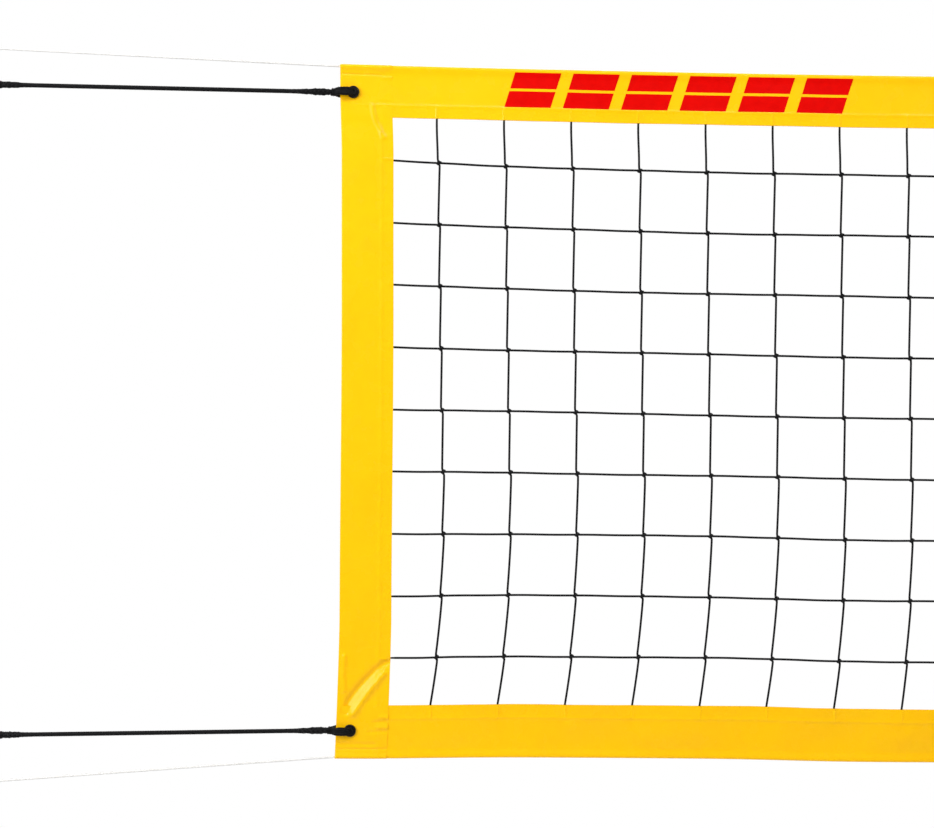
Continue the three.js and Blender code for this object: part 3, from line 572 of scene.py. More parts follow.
def cinch(knot):
    """Three turns of whipping that hold the rope's eye shut at the net's edge."""
    turns = 3
    a = np.linspace(0, 2 * math.pi * turns, 24 * turns)
    x = knot - 4.4 * MM + a / (2 * math.pi) * 3.1 * MM
    bulge = 3.9 * MM + 0.4 * MM * np.sin(math.pi * a / a[-1])
    path = points_at(x, bulge * np.cos(a), bulge * np.sin(a))
    shape = Shape()
    shape.braid(path, 1.7 * MM, strands=4, pitch=11 * MM, width=0.85 * MM, thick=0.5 * MM)
    return shape.sweep(straight(knot - 5 * MM, knot + 6 * MM)[::2], 4.1 * MM, 16)


def eye_leg(knot, height):
    """One leg of the rope's eye: from the knot over the band, through the grommet and back."""
    out = 9.35 * MM
    grommet_x = knot - KNOT_X
    half = [
        (knot, 0, 0.5 * height),
        (knot - 2.5 * MM, 5.2 * MM, 0.6 * height),
        (knot - 7.5 * MM, out - 0.7 * MM, 0.85 * height),
        (knot - 14.5 * MM, out, height),
        (grommet_x + 7.5 * MM, out + 0.3 * MM, height),
        (grommet_x + 1.2 * MM, out - 2.5 * MM, height),
        (grommet_x, out - 6 * MM, height),
    ]
    return spline([*half, *[(x, -y, z) for x, y, z in reversed(half)]])


def rope_eye(knot):
    """Both legs, laid close about a core, a turn at each mouth of the grommet, and the whipping."""
    shape = cinch(knot)
    for height in (-3.2 * MM, 3.2 * MM):
        leg = evenly(eye_leg(knot, height), 0.8 * MM)
        shape.braid(leg, 3.1 * MM, strands=5, pitch=20 * MM, width=1.1 * MM, thick=0.62 * MM)
        shape.sweep(leg[::2], 2.4 * MM, 10)
    shape.sweep(evenly(eye_leg(knot, 0), 2 * MM), 2.9 * MM, 10)
    a = circle(100, closed=True)
    for face in FACES.values():
        x = knot - KNOT_X + 3.9 * MM * np.cos(a)
        turn = points_at(x, face * 5.6 * MM, 3.9 * MM * np.sin(a))
        shape.braid(turn, 2.9 * MM, strands=5, pitch=8.2 * MM, width=1.1 * MM, thick=0.6 * MM)
        shape.sweep(turn[:-1], 2.3 * MM, 10, loop=True)
    return shape


def hook_loop():
    """The eye round the hook's end."""
    a = circle(120, closed=True)
    path = points_at(LOOP_X + LOOP_RADIUS * np.cos(a), LOOP_RADIUS * np.sin(a), 0)
    shape = Shape()
    shape.braid(path, 2.9 * MM, strands=5, pitch=14.66 * MM, width=1.0 * MM, thick=0.6 * MM)
    return shape.sweep(path[:-1], 2.15 * MM, 10, loop=True)


def rope_route(place, knot):
    """The rope's centre line, from its knot to the eye on the hook."""
    line = evenly([(knot, 0, 0), (ROPE_END_X, 0, 0)], 20 * MM)
    return [list((place @ Matrix.Translation(p)).translation) for p in line]


for level, side in CORNERS:
    node = f"rope_{level}_{side}"
    place = corner_matrix(level, side)
    knot = KNOT_X + GROMMET_PULL[level]
    shapes = {
        "body": rope_body(knot),
        "net_splice": rope_splice(knot + 2 * MM, knot + 62 * MM, 1.3),
        "hook_splice": rope_splice(ROPE_END_X, ROPE_END_X - 58 * MM, 2.6),
        "net_eye": rope_eye(knot),
        "hook_eye": hook_loop(),
    }
    pieces = {}
    for word, shape in shapes.items():
        pieces[word] = show(shape.placed(place), f"{node}_{word}", node)
    route = rope_route(place, knot)
    pieces.pop("body")

# -------- the net's curves


def sag_share(x):
    """0 at the net's ends and 1 at mid-span: a taut net is flat in the middle."""
    return 1 - np.minimum(1, np.abs(x) / HALF_NET) ** 4


def top_edge(x):
    return NET_TOP - TOP_SAG * sag_share(x)


def pull_up(x):
    """1 along the stretch near each end where the corner ropes draw the bottom band up."""
    in_from_end = HALF_NET - np.abs(x)
    return np.exp(-(((in_from_end - 400 * MM) / (280 * MM)) ** 4))


def bottom_edge(x):
    return NET_BOTTOM - BOTTOM_SAG * sag_share(x) + 3.8 * MM * pull_up(x)


def row_height(row, x):
    sag = FIRST_ROW_SAG + (LAST_ROW_SAG - FIRST_ROW_SAG) * row / (ROWS - 1)
    rise = (1.04 * row - 2.8) * MM * pull_up(x)
    return NET_TOP - FIRST_ROW_DROP - ROW_PITCH * row - sag * sag_share(x) + rise


def column_bow(share):
    """How far a column bows towards mid-net, from its top, 0, to its bottom, 1."""
    rise = 3.2 * smoothstep(0, 0.08, share) + 7.3 * np.minimum(share / 0.62, 1) ** 1.6
    return (rise - 19.5 * (np.clip(share - 0.62, 0, None) / 0.38) ** 2.5) * MM


def inward(x):
    """1 at the net's left end and -1 at its right end."""
    return -x / HALF_NET


COLUMN_PITCH = 2 * FIRST_COLUMN / (COLUMNS - 1)


def nearest_column(x, shift):
    """Distance to the nearest column, where each has moved inwards by the shift."""
    x = x - inward(x) * shift
    return x + FIRST_COLUMN - COLUMN_PITCH * np.round((x + FIRST_COLUMN) / COLUMN_PITCH)


# -------- hem lines

LINE_DRAWN = 1.7 * MM
LINE_IN_FOLD = 2.0 * MM  # the line is drawn tight against the fold of its hem


def hem_path(edge, sign):
    x = np.linspace(-HALF_NET, HALF_NET, 240)
    return points_at(x, 0, edge(x) - sign * LINE_IN_FOLD)


def line_eye(side, height):
    """The line's eye round the near side of an eye bolt's ring."""
    a = circle(48)
    x = SIDES[side] * (EYE_X - EYE_RING)
    return points_at(x + 7 * MM * np.cos(a), 0, height + 7 * MM * np.sin(a))


def line_height(line, x):
    """The line's height outside the net, at a distance from mid-net."""
    start = NET_TOP - LINE_DEPTH if line == "top" else NET_BOTTOM + LINE_DEPTH
    return start + (x - HALF_NET) * math.tan(LINE_RISE[line])


def line_splice(side, height, slope):
    """The seized tail beside the line's eye."""
    start = (SIDES[side] * (LINE_END_X - 1 * MM), 0, height)
    end = (SIDES[side] * (LINE_END_X - 34 * MM), 0, height - 33 * MM * math.tan(slope))
    line = evenly([start, end], 1 * MM)
    swell = LINE_DRAWN + 0.9 * MM * (1 - np.linspace(0, 1, len(line))) ** 0.6
    return line, swell + 0.12 * MM * np.sin(np.arange(len(line)) * 1.9)


def top_line():
    height = line_height("top", LINE_END_X)
    wrap = arc(PULLEY, LINE_ON_PULLEY, 93, 2, 24)
    down = [(WINCH[0] - LINE_ON_DRUM, 0, WINCH[2] + LINE_MEETS_DRUM)]
    route = np.concatenate([[(-LINE_END_X, 0, height)], hem_path(top_edge, 1), wrap, down])
    shape = Shape().sweep(evenly(route, 12 * MM), LINE_DRAWN, 10)
    ring = line_eye("left", line_height("top", EYE_X - EYE_RING))
    shape.sweep(ring, LINE_DRAWN, 10, loop=True)
    return shape.sweep(*line_splice("left", height, LINE_RISE["top"]), 12)


def bottom_line():
    height = line_height("bottom", LINE_END_X)
    ends = [[(side * LINE_END_X, 0, height)] for side in (-1, 1)]
    route = np.concatenate([ends[0], hem_path(bottom_edge, -1), ends[1]])
    shape = Shape().sweep(evenly(route, 12 * MM), LINE_DRAWN, 10)
    for side in SIDES:
        ring = line_eye(side, line_height("bottom", EYE_X - EYE_RING))
        shape.sweep(ring, LINE_DRAWN, 10, loop=True)
        shape.sweep(*line_splice(side, height, LINE_RISE["bottom"]), 12)
    return shape


def drum_turns():
    """Seven turns of the line, side by side on the drum."""
    turns = 7
    a = np.linspace(0, 2 * math.pi * turns, 40 * turns)
    y = np.linspace(-16.6, 8.6, len(a)) * MM
    x, z = WINCH[0] - LINE_ON_DRUM * np.cos(a), WINCH[2] + LINE_ON_DRUM * np.sin(a)
    return Shape().sweep(points_at(x, y, z), 1.9 * MM, 10)


show(top_line(), "top_line_run", "top_line")
show(bottom_line(), "bottom_line_run", "bottom_line")
show(drum_turns(), "drum_turns", "line_turns")

# -------- the bands

PLY = 0.9 * MM
FLAT = 1.35 * MM  # half thickness where both plies lie together
HEM = 3.35 * MM  # half thickness round the hem line
TAPE_RISE = 0.7 * MM  # how far a tape's fold stands past its band's nominal edge
TAPE_DEPTH = 76.5 * MM
BOTTOM_TAPE_DEPTH = 78 * MM
TAPE_STEP = 14 * MM


def folded(depth, hem, flat, neck=(1.2, 4.2)):
    """Half the thickness of a tape folded round a line, at a depth below its folded edge.

    Its neck, in units of the hem, is where it narrows to its flat thickness.
    """
    bend = np.sqrt(np.clip(hem**2 - np.square(hem - np.minimum(depth, hem)), 0, None))
    narrowing = hem + (flat - hem) * smoothstep(neck[0] * hem, neck[1] * hem, depth)
    return np.minimum(np.where(depth < hem, bend, hem), narrowing)


def tape_depths(hem, last, flat_part):
    """Depths at which a tape's section is drawn: close together in the fold."""
    bend = hem * (1 - np.cos(np.radians([0, 15, 32, 50, 70, 90])))
    return np.concatenate([bend, flat_part, [last]])


def hem_tape_depths(last):
    """Depths for the top or bottom tape: close together in its neck and over the border."""
    neck = np.linspace(1.5 * HEM, 4.2 * HEM, 5)
    middle = np.linspace(20 * MM, BORDER - 7.5 * MM, 6)
    ridge = BORDER + np.array([-4.5, -2.6, -1.3, 0, 1.3, 2.6, 4.5]) * MM
    below = np.linspace(BORDER + 8 * MM, last - 0.6 * MM, 3)
    return tape_depths(HEM, last, np.concatenate([neck, middle, ridge, below]))


def ghosts(offset, depth):
    """The netting's strands and border, showing as ridges through a ply."""
    strand = 0.8 * hill(offset, 1.4 * MM) * smoothstep(BORDER - 2 * MM, BORDER, depth)
    border = 0.65 * hill(depth - BORDER, 2.2 * MM)
    dimple = -0.5 * hill(offset, 4 * MM) * hill(depth - BORDER + 5 * MM, 3.5 * MM)
    return np.maximum(strand, border) * MM + dimple * MM


def folded_tape(stations, depths, half, place):
    """A strip folded in two along its outer edge, as a closed skin round both plies.

    half(a, depth) is how far a ply's outside stands from the middle, and place(a, depth, y)
    gives the point. The last ring of depths is the open edge.
    """
    a, d = np.meshgrid(stations, depths, indexing="ij")
    thick = half(a, d)
    outside = {face: place(a, d, face * thick) for face in FACES.values()}
    inner = np.concatenate([[PLY], depths[depths > 2 * PLY][::3], [depths[-1]]])
    a, d = np.meshgrid(stations, inner, indexing="ij")
    thick = half(a, d)
    lining = np.minimum(0.9 * thick, np.maximum(0.12 * MM, thick - PLY))
    inside = {face: place(a, d, face * lining) for face in FACES.values()}
    section = [outside[-1][:, ::-1], outside[1][:, 1:], inside[1][:, ::-1], inside[-1]]
    return Shape().loft(np.concatenate(section, axis=1))


def ripple(a, depth, seed):
    """The gentle waves of a slack tape, in metres out of its plane."""
    return MM * (
        0.7 * np.sin(a / (61 * MM) + seed + depth / (55 * MM))
        + 0.5 * np.sin(a / (27 * MM) + 2.3 * seed - depth / (33 * MM))
        + 0.18 * np.sin(a / (9.5 * MM) + 3.7 * seed + depth / (21 * MM))
    )


def along_stations(shift):
    """Stations along the net: an even step, and closer together at each column."""
    reach = HALF_NET - 1.3 * MM
    even = np.arange(-reach, reach, TAPE_STEP)
    centres = -FIRST_COLUMN + COLUMN_PITCH * np.arange(COLUMNS)
    centres = centres + inward(centres) * shift
    close = (centres[:, None] + np.array([-2.6, -1.3, -0.6, 0, 0.6, 1.3, 2.6]) * MM).ravel()
    return np.unique(np.concatenate([even, close, [reach]]))


def hem_sway(x, depth, seed, strength):
    """Out-of-plane waves of the top or bottom band: none at the fold or under the side bands."""
    calm = smoothstep(0, 160 * MM, HALF_NET - BAND * 0.6 - np.abs(x))
    return strength * calm * smoothstep(0, 40 * MM, depth) * ripple(x, depth, seed)


TOP_WAVES = (0.4, 1.1)  # seed and strength
BOTTOM_WAVES = (2.9, 2.0)
FOOT_SHIFT = float(column_bow(np.array(1.0)))


def hem_tape(edge, sign, shift, waves):
    """The half thickness and the place of the top tape, of sign 1, or of the bottom one, of -1."""

    def half(x, depth):
        return folded(depth, HEM, FLAT) + ghosts(nearest_column(x, shift), depth)

    def place(x, depth, y):
        z = edge(x) + sign * TAPE_RISE - sign * depth
        return points_at(x, y + hem_sway(x, depth, *waves), z)

    return half, place


SIDE_HEM = 1.7 * MM
LAP = 1.9 * MM  # the extra half thickness where a side band laps over a hem
END_RISE = 1.0 * MM  # how far a side band stands past the net's top and bottom
WELD = 12.5 * MM  # the height of the welded flap at each end of a side band
OVERLAP = 0.95 * MM  # the extra half thickness over the ends of the top and bottom bands


# Folds that a corner rope pulls into a side band, in millimetres: height, below 0 for a valley, width,
# and a curve's points, each as its distance in from the band's outer edge and along from its end.
UPPER_CREASES = (
    (1.8, 3.4, [(47, 60), (50, 78), (56, 92), (63, 106)]),
    (-0.9, 4.0, [(55, 64), (58, 80), (66, 98)]),
    (0.9, 2.6, [(66, 18), (76, 17)]),
    (-0.9, 2.2, [(60, 11), (76, 12)]),
    (-0.9, 2.8, [(56, 55), (76, 56)]),
)
LOWER_CREASES = (
    (-4.0, 5.2, [(76, 142), (62, 135), (38, 111), (19, 86), (13, 70)]),
    (3.4, 4.8, [(67, 124), (51, 104), (36, 83), (25, 66)]),
    (2.4, 3.3, [(9, 150), (8, 125), (10, 100)]),
    (1.7, 2.6, [(66, 61), (76, 60)]),
    (-1.4, 2.4, [(56, 53), (77, 54)]),
    (1.7, 2.6, [(62, 46), (77, 45)]),
    (-1.1, 2.4, [(50, 39), (77, 40)]),
    (-1.3, 2.4, [(0, 22), (30, 21), (56, 20)]),
    (0.7, 1.3, [(30, 17), (66, 17), (68, 13), (66, 9), (30, 9)]),
)


def creased(across, from_corner, creases):
    """The summed height of some creases, at a place on the side band."""
    total = 0
    for height, width, points in creases:
        gap = np.full(np.shape(across), 1.0)
        for u, v, _ in spline([(u, v, 0) for u, v in points], 8) * MM:
            gap = np.minimum(gap, np.hypot(across - u, from_corner - v))
        total = total + height * MM * hill(gap, width * MM)
    return total


def side_sway(z, depth):
    """Out-of-plane folds and waves of a side band, which its ends hold flat."""
    drop = NET_TOP - z
    waves = 0.6 * ripple(z, depth, 1.7) * smoothstep(0, 25 * MM, depth)
    rise = NET_HEIGHT - drop
    hold = smoothstep(-1 * MM, 20 * MM, np.minimum(drop, rise))
    folds = creased(depth, drop, UPPER_CREASES) + creased(depth, rise, LOWER_CREASES)
    return -(folds + waves) * hold


def side_lean(share):
    """How far in a side band stands, from its top, 0, to its bottom, 1."""
    bulge = 2.1 * smoothstep(0.03, 0.13, share) - 3.3 * smoothstep(0.35, 0.85, share)
    return (bulge - 7 * (np.clip(share - 0.8, 0, None) / 0.2) ** 1.3) * MM


def side_half(z, depth):
    ends = np.minimum(NET_TOP - z, z - NET_BOTTOM)
    thinning = 1 - 0.45 * smoothstep(BAND - 14 * MM, TAPE_DEPTH, depth)
    flat = FLAT + OVERLAP * thinning * (1 - smoothstep(BAND - 4 * MM, BAND + 12 * MM, ends))
    lap = folded(ends + END_RISE, HEM + LAP * thinning, flat, (0.5, 2.3))
    fold = folded(depth, SIDE_HEM, SIDE_HEM) / SIDE_HEM
    rows = np.stack([row_height(row, np.array(HALF_NET)) for row in range(ROWS)])
    offset = np.min(np.abs(z[..., None] - rows), axis=-1)
    weld = 0.6 * MM * (1 - smoothstep(WELD - 0.5 * MM, WELD + 0.9 * MM, ends))
    seam = -0.55 * MM * hill(ends - WELD - 1.2 * MM, 1.4 * MM)
    return lap * fold + ghosts(offset, depth) * (ends > TAPE_DEPTH) + weld * fold + seam


def side_place(sign, z, depth, y):
    share = np.clip((NET_TOP - z) / NET_HEIGHT, 0, 1)
    x = HALF_NET - depth
    follow = (top_edge(x) - NET_TOP) * (1 - share) + (bottom_edge(x) - NET_BOTTOM) * share
    return points_at(sign * (x - side_lean(share)), y + side_sway(z, depth), z + follow)


def side_tape(sign):
    low, high = NET_BOTTOM - END_RISE, NET_TOP + END_RISE
    rim = np.array([0, 0.2, 0.6, 1.2, 2.0, 3.2, 4.5]) * MM
    busy = np.arange(6, 190, 1.7) * MM
    calm = np.arange(low + 191 * MM, high - 190 * MM, 3.4 * MM)
    stations = np.concatenate([low + rim, low + busy, calm, (high - busy)[::-1], (high - rim)[::-1]])

    def place(z, depth, y):
        return side_place(sign, z, depth, y)

    flat_part = np.linspace(1.5 * SIDE_HEM, TAPE_DEPTH - 0.6 * MM, 36)
    depths = tape_depths(SIDE_HEM, TAPE_DEPTH, flat_part)
    return folded_tape(stations, depths, side_half, place)


def make_tape(word, shape):
    tape = show(shape, f"{word}_tape", f"{word}_band")


top_half, top_place = hem_tape(top_edge, 1, 0, TOP_WAVES)
bottom_half, bottom_place = hem_tape(bottom_edge, -1, FOOT_SHIFT, BOTTOM_WAVES)
top_depths = hem_tape_depths(TAPE_DEPTH)
bottom_depths = hem_tape_depths(BOTTOM_TAPE_DEPTH)
top_tape = folded_tape(along_stations(0), top_depths, top_half, top_place)
bottom_tape = folded_tape(along_stations(FOOT_SHIFT), bottom_depths, bottom_half, bottom_place)
make_tape("top", top_tape)
make_tape("bottom", bottom_tape)
for side, sign in SIDES.items():
    make_tape(side, side_tape(sign))

# -------- the netting

TWINE = 1.6 * MM
TWINE_IN_BAND = 1.25 * MM  # the bands press it flat
KNOT_STEP = 3.0 * MM  # how far a column steps sideways at each knot
SWAY_FADE = 60 * MM  # how far from a band its sway still moves the netting


def faded(depth, sway):
    """A band's sway at a depth below its outer edge, dying out past its inner edge."""
    return sway(np.minimum(depth, BAND)) * (1 - smoothstep(BAND, BAND + SWAY_FADE, depth))


def hems_sway(x, z):
    """How far the top and bottom bands carry a strand out of the net's plane."""
    top = faded(top_edge(x) - z, lambda depth: hem_sway(x, depth, *TOP_WAVES))
    return top + faded(z - bottom_edge(x), lambda depth: hem_sway(x, depth, *BOTTOM_WAVES))


def sides_sway(x, z):
    """How far the side bands carry a strand out of the net's plane."""
    depth = HALF_NET - side_lean((NET_TOP - z) / NET_HEIGHT) - np.abs(x)
    return faded(depth, lambda within: side_sway(z, within))


def twine_radius(depth):
    """The twine's radius, at a depth below the nearest band's outer edge."""
    return TWINE_IN_BAND + (TWINE - TWINE_IN_BAND) * smoothstep(BAND, BAND + 4 * MM, depth)


def column_place(x0, z):
    """The column's place across at each height, bowed, and stepping at each knot."""
    high, low = top_edge(x0) - BAND, bottom_edge(x0) + BAND
    knots = np.array([row_height(row, x0) for row in range(ROWS)])
    share = np.clip((high - z) / (high - low), 0, 1)
    passed = sum(0.5 * (1 + np.tanh((k - z) / (2.2 * MM))) for k in knots)
    drift = np.interp(-z, -knots, np.arange(ROWS) + 0.5)
    drift = np.where(z > knots[0], 0.5 - (z - knots[0]) / ROW_PITCH, drift)
    drift = np.where(z < knots[-1], ROWS - 0.5 + (knots[-1] - z) / ROW_PITCH, drift)
    step = KNOT_STEP * np.sign(inward(x0)) * (passed - drift)
    return x0 + inward(x0) * column_bow(share) + step


def column_path(x0):
    z = np.linspace(top_edge(x0) - BORDER, bottom_edge(x0) + BORDER, 190)
    x = column_place(x0, z)
    return points_at(x, hems_sway(x, z), z)


def row_drift(row, x):
    """Small dips of a row between its knots."""
    cell = nearest_column(x, 0) / COLUMN_PITCH
    return 0.2 * MM * np.sin(2 * math.pi * cell) + 0.4 * MM * np.sin(x * 11.3 + 2.1 * row)


def row_path(row):
    end = side_lean((FIRST_ROW_DROP + ROW_PITCH * row) / NET_HEIGHT)
    reach = HALF_NET - BORDER - end
    x = np.linspace(-reach, reach, 1700)
    z = row_height(row, x) + row_drift(row, x)
    return points_at(x, sides_sway(x, z), z)


def knot_path(lean, tightness, mirror):
    """A turn and a half of twine pulled tight, about its own centre."""
    a = np.linspace(-0.2 * math.pi, 2.9 * math.pi, 15)
    lift = np.linspace(-2.6, 2.6, len(a)) * MM
    reach = 2.5 * MM * tightness
    x = mirror * (0.8 * reach * np.cos(a) + 0.6 * lift)
    y = reach * np.sin(a)
    turn = np.array(Matrix.Rotation(lean, 3, "Z")).T
    return points_at(x, y, lift) @ turn


def twine_run(shape, path, side, up, depth):
    """A strand along a path, its section turned to two fixed directions across it."""
    across = (np.tile(side, (len(path), 1)), np.tile(up, (len(path), 1)))
    shape.sweep(path, twine_radius(depth), 8, across=across)


def knotted_columns(first, last):
    shape = Shape()
    for column in range(first, last):
        x0 = -FIRST_COLUMN + COLUMN_PITCH * column
        path = column_path(x0)
        depth = np.minimum(top_edge(x0) - path[:, 2], path[:, 2] - bottom_edge(x0))
        twine_run(shape, path, (0, 1, 0), (-1, 0, 0), depth)
        for row in range(ROWS):
            z = row_height(row, x0) + row_drift(row, np.array(x0))
            x = column_place(x0, np.array([z]))[0]
            tightness = 0.98 + 0.1 * math.sin(5 * column + 3 * row)
            knot = knot_path(0.25 * math.sin(7 * column + 2 * row), tightness, math.copysign(1, -x0))
            shape.sweep(knot + (x, 0, z), 1.8 * MM, 7)
    return shape


def netting_rows(rows):
    shape = Shape()
    for row in rows:
        path = row_path(row)
        twine_run(shape, path, (0, -1, 0), (0, 0, -1), HALF_NET - np.abs(path[:, 0]))
    return shape


def hem_border(edge, sign):
    x = np.linspace(BORDER - HALF_NET, HALF_NET - BORDER, 800)
    z = edge(x) - sign * BORDER
    return points_at(x, hems_sway(x, z), z)


def side_border(sign):
    z = np.linspace(NET_BOTTOM + BORDER, NET_TOP - BORDER, 500)
    x = sign * (HALF_NET - BORDER - side_lean((NET_TOP - z) / NET_HEIGHT))
    return points_at(x, sides_sway(x, z), z)


upper_rows = netting_rows(range(0, 5))
upper_rows.sweep(hem_border(top_edge, 1), TWINE_IN_BAND, 6)
lower_rows = netting_rows(range(5, ROWS))
lower_rows.sweep(hem_border(bottom_edge, -1), TWINE_IN_BAND, 6)
for sign in SIDES.values():
    lower_rows.sweep(side_border(sign), 0.7 * TWINE_IN_BAND, 6)
show(upper_rows, "netting_rows_upper", "netting_rows")
show(lower_rows, "netting_rows_lower", "netting_rows")
third = COLUMNS // 3
for word, start in (("left", 0), ("middle", third), ("right", 2 * third)):
    show(knotted_columns(start, start + third), f"netting_columns_{word}", "netting_columns")

# -------- the print on the top band

BLOCKS = 6
BLOCK_PITCH = 86 * MM
BLOCK_WIDTH = 68 * MM
BLOCK_SLANT = 16 * MM
PRINT_START = 242 * MM  # from the net's side edge
PRINT_ROWS = ((6 * MM, 29.5 * MM), (33.5 * MM, 57 * MM))  # depths below the top edge
INK = 0.22 * MM


def print_blocks(sign, face):
    """Slanted blocks in two rows, on one face of the top band near one of its ends."""
    shape = Shape()
    print_top, print_bottom = PRINT_ROWS[0][0], PRINT_ROWS[1][1]
    for block in range(BLOCKS):
        for upper, lower in PRINT_ROWS:
            d = np.linspace(upper, lower, 8)
            u = np.linspace(0, 1, 16)[:, None]
            start = PRINT_START + BLOCK_PITCH * block
            slant = BLOCK_SLANT * (print_bottom - d) / (print_bottom - print_top)
            x = sign * (HALF_NET - start - BLOCK_WIDTH * u) + slant[None]
            depth = np.broadcast_to(d, x.shape)
            level = top_half(x, depth)
            over = top_place(x, depth, face * (level + INK))
            under = top_place(x, depth, face * (level - INK))
            shape.loft(np.concatenate([over, under[:, ::-1]], axis=1))
    return shape


for side, sign in SIDES.items():
    for word, face in FACES.items():
        show(print_blocks(sign, face), f"print_{side}_{word}", "top_band", False, RED_PRINT)

# -------- grommets, hooks, eye bolts


def grommet(centre):
    """A rolled eyelet: a barrel through the band, with a rounded flange on each face."""
    profile = []
    for face, angles in ((-1, range(180, 361, 20)), (1, range(0, 181, 20))):
        for degrees in angles:
            a = math.radians(degrees)
            profile.append((7.85 + 1.15 * math.cos(a), face * 5.3 + 0.75 * math.sin(a)))
    return Shape().turned(np.array(profile) * MM, 40, centre, loop=True)


def hook_wire():
    pole_end = arc((HOOK_POLE_X, 0, 0), HOOK_BEND, -85, 90, 20)
    net_end = arc((HOOK_NET_X, 0, 0), HOOK_BEND, 95, 262, 20)
    start = [(HOOK_POLE_X - 1 * MM, 0, -HOOK_BEND)]
    return spline(np.concatenate([start, pole_end, net_end]), 3)


def snap_hook():
    return Shape().rod(hook_wire(), 3 * MM, 16, 1.5 * MM)


def hook_gate():
    shape = Shape()
    nose = HOOK_NET_X - 0.1 * MM
    shape.rod([(GATE_X, 0, -HOOK_BEND), (nose, 0, -HOOK_BEND)], 2.4 * MM, 14, 1.5 * MM)
    profile = [(2.2, -3.6), (2.6, -3.2), (2.6, 3.2), (2.2, 3.6)]
    return shape.turned(np.array(profile) * MM, 20, (GATE_X, 0, -HOOK_BEND))


def eye_bolt(side, height):
    """A forged ring on a threaded shank."""
    a = circle(56)
    x = SIDES[side] * EYE_X
    ring = points_at(x + EYE_RING * np.cos(a), EYE_RING * np.sin(a), height)
    shape = Shape().sweep(ring, EYE_WIRE, 16, loop=True)
    profile = [(EYE_WIRE, EYE_RING - 1 * MM)]
    for turn in np.arange(EYE_RING + 2.5 * MM, EYE_SHANK_END - 1.3 * MM, 1.25 * MM):
        profile += [(EYE_WIRE, turn), (EYE_WIRE - 0.55 * MM, turn + 0.6 * MM)]
    profile += [(EYE_WIRE - 0.2 * MM, EYE_SHANK_END - 0.6 * MM), (3 * MM, EYE_SHANK_END)]
    shank = [(radius, SIDES[side] * along_x) for radius, along_x in profile]
    return shape.turned(shank, 20, (x, 0, height), axis="X")


for level, side in CORNERS:
    place = corner_matrix(level, side)
    grommet_x = CORNER_X + GROMMET_PULL[level]
    centre = (SIDES[side] * grommet_x, 0, place.translation.z)
    parts = {
        "grommet": grommet(centre),
        "snap_hook": snap_hook().placed(place),
        "hook_gate": hook_gate().placed(place),
    }
    for word, shape in parts.items():
        show(shape, f"{word}_{level}_{side}_round", f"{word}_{level}_{side}")

LINE_EYES = [("top_line", "left"), ("bottom_line", "left"), ("bottom_line", "right")]
for held, side in CORNERS + LINE_EYES:
    node = f"eye_bolt_{held}_{side}"
    low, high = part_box(node)
    mesh = eye_bolt(side, (low.z + high.z) / 2).mesh(f"{node}_round", sharp=25)
    show(mesh, f"{node}_round", node)
    finished_copy(f"lock_nut_{held}_{side}", 0.5 * MM)

# -------- poles, pulley and winch

POLE_EDGES = {"pole": 0.5, "pole_cap": 0.8, "base": 1.5, "cross_bolt": 0.8, "cross_nut": 0.6}
for side in SIDES:
    for word, bevel in POLE_EDGES.items():
        finished_copy(f"{word}_{side}", bevel * MM)


def weld_beads(side):
    """The fillet welds of a base: round the socket's foot and along each gusset."""
    shape = Shape()
    x = SIDES[side] * POLE_X
    a = circle(160)
    ring = points_at(x + SOCKET * np.cos(a), SOCKET * np.sin(a), BASE_PLATE)
    shape.sweep(ring, 3 * MM + 0.4 * MM * np.sin(40 * a), 8, loop=True)
    for b in QUARTER * np.array([1, 3, 5, 7]):
        out, over = np.array([math.cos(b), math.sin(b), 0]), np.array([-math.sin(b), math.cos(b), 0])
        for face in FACES.values():
            start = (x, 0, BASE_PLATE) + (SOCKET + 3.5 * MM) * out + face * GUSSET_HALF * over
            run = evenly([start, start + GUSSET_LENGTH * out], 2 * MM)
            shape.sweep(run, 2.4 * MM + 0.3 * MM * np.sin(np.arange(len(run)) * 2.1), 8)
    return shape


for side in SIDES:
    show(weld_beads(side), f"weld_{side}", f"base_{side}", False)


def pulley_wheel():
    """A grooved sheave with a raised hub and a dished web."""
    half = [(4.3, 5), (9, 5), (10, 3.4), (22, 3.4), (24, 5), (30.3, 5), (31, 4.3), (30.4, 3.4), (26.6, 1.6)]
    profile = [(r, -y) for r, y in half] + [(26, 0)] + [(r, y) for r, y in reversed(half)]
    return Shape().turned(np.array(profile) * MM, 72, PULLEY, loop=True)


def crank_grip():
    """A moulded grip with finger ribs."""
    ribs, length, bore, end, rim, chamfer = 9, 84, 5.3, 11, 12.6, 1.4
    profile = [(bore, 0), (end, 0), (rim, chamfer)]
    for share in np.linspace(0, 1, 61)[1:-1]:
        rib = 0.8 * abs(math.sin(math.pi * ribs * share)) ** 0.5
        profile.append((rim - 0.5 + rib, chamfer + (length - 2 * chamfer) * share))
    profile += [(rim, length - chamfer), (end, length), (bore, length)]
    centre = (WINCH[0], CRANK_FRONT - (length + 2) * MM, WINCH[2] - CRANK_REACH)
    return Shape().turned(np.array(profile) * MM, 40, centre, loop=True)


show(pulley_wheel(), "pulley_sheave", "pulley_wheel")
show(crank_grip(), "crank_grip_ribbed", "crank_grip")
for node in ("pulley_axle", "winch_frame", "winch_drum", "crank_arm", "crank_bolt", "pawl",
             "pawl_pin", "winch_screw_upper", "winch_screw_lower"):
    finished_copy(node, 0.5 * MM)

for name, node in frame["nodes"].items():
    node.data.materials.clear()
    node.data.materials.append(FINISHES[SLOT_OF[name]].material)

# -------- floor and light


def pale_floor():
    finish = Finish("pale_floor", (0.86, 0.86, 0.86), 0.8, specular=0.1)
    finish.tinted(2.5, (0.82, 0.82, 0.82), 0.6)
    return finish.material


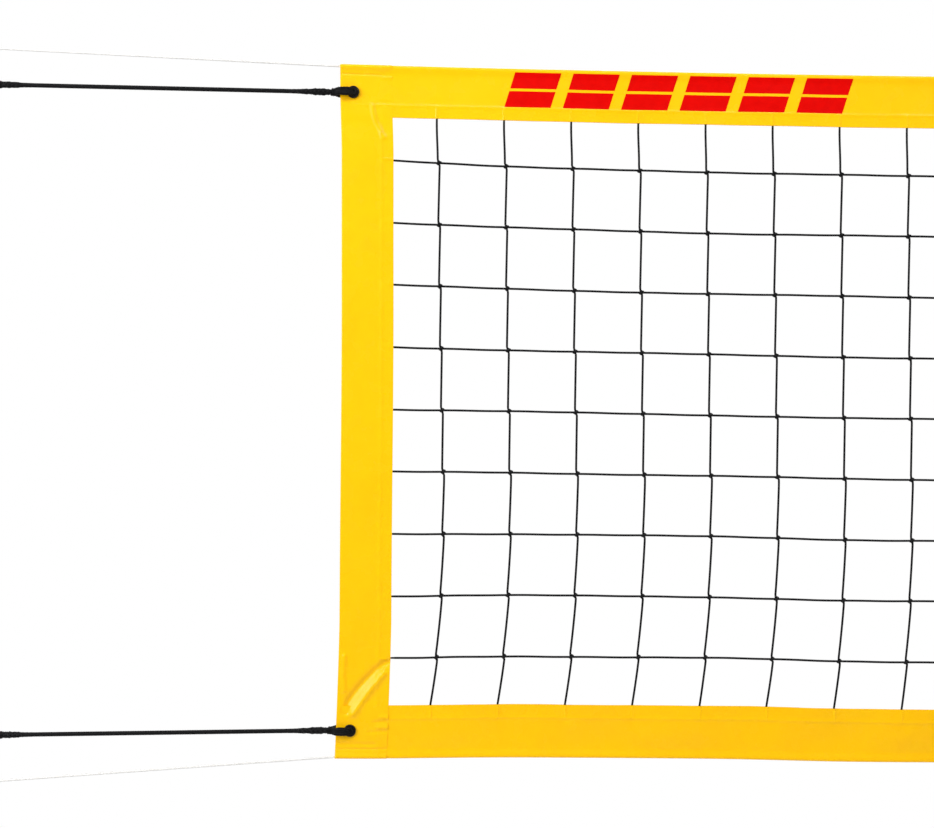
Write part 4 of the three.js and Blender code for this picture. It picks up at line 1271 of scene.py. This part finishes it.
def floor():
    mesh = bpy.data.meshes.new("floor")
    corners = [(-8, -6, 0), (8, -6, 0), (8, 3.4, 0), (-8, 3.4, 0)]
    mesh.from_pydata(corners, [], [(0, 1, 2, 3)])
    mesh.materials.append(pale_floor())
    plane = bpy.data.objects.new("floor", mesh)
    bpy.context.scene.collection.objects.link(plane)


def area_light(name, place, turn, size, power):
    """A soft rectangular light, turned from facing straight down by its angles in degrees."""
    data = bpy.data.lights.new(name, "AREA")
    data.shape = "RECTANGLE"
    data.size, data.size_y = size
    data.energy = power
    light = bpy.data.objects.new(name, data)
    light.location = place
    light.rotation_euler = [math.radians(angle) for angle in turn]
    light.visible_camera = False
    bpy.context.scene.collection.objects.link(light)


SKY_AT_HORIZON = 0.46
SKY_OVERHEAD = 0.9


def studio_world():
    """Soft light that is brightest overhead, and plain white wherever the camera looks past."""
    world = bpy.data.worlds.new("studio")
    world.use_nodes = True
    tree = world.node_tree
    white = tree.nodes["Background"]
    white.inputs["Color"].default_value = (1, 1, 1, 1)
    kinds = ("TexCoord", "SeparateXYZ", "MapRange", "Background", "LightPath", "MixShader")
    place, split, height, soft, ray, mix = (tree.nodes.new(f"ShaderNode{kind}") for kind in kinds)
    height.inputs["To Min"].default_value = SKY_AT_HORIZON
    height.inputs["To Max"].default_value = SKY_OVERHEAD
    link = tree.links.new
    link(place.outputs["Generated"], split.inputs["Vector"])
    link(split.outputs["Z"], height.inputs["Value"])
    link(height.outputs["Result"], soft.inputs["Strength"])
    link(ray.outputs["Is Camera Ray"], mix.inputs[0])
    link(soft.outputs["Background"], mix.inputs[1])
    link(white.outputs["Background"], mix.inputs[2])
    link(mix.outputs["Shader"], tree.nodes["World Output"].inputs["Surface"])
    bpy.context.scene.world = world


floor()
studio_world()
area_light("front_strip", (0, -1.5, 3.7), (50, 0, 0), (12, 0.5), 105)
area_light("back_strip", (0, 2.2, 3.9), (-50, 0, 0), (12, 0.5), 120)
for side, sign in SIDES.items():
    area_light(f"softbox_{side}", (sign * 6.4, -1.7, 2.6), (67, 0, sign * 52), (1.5, 1.5), 58)
bpy.context.scene.view_settings.view_transform = "Standard"
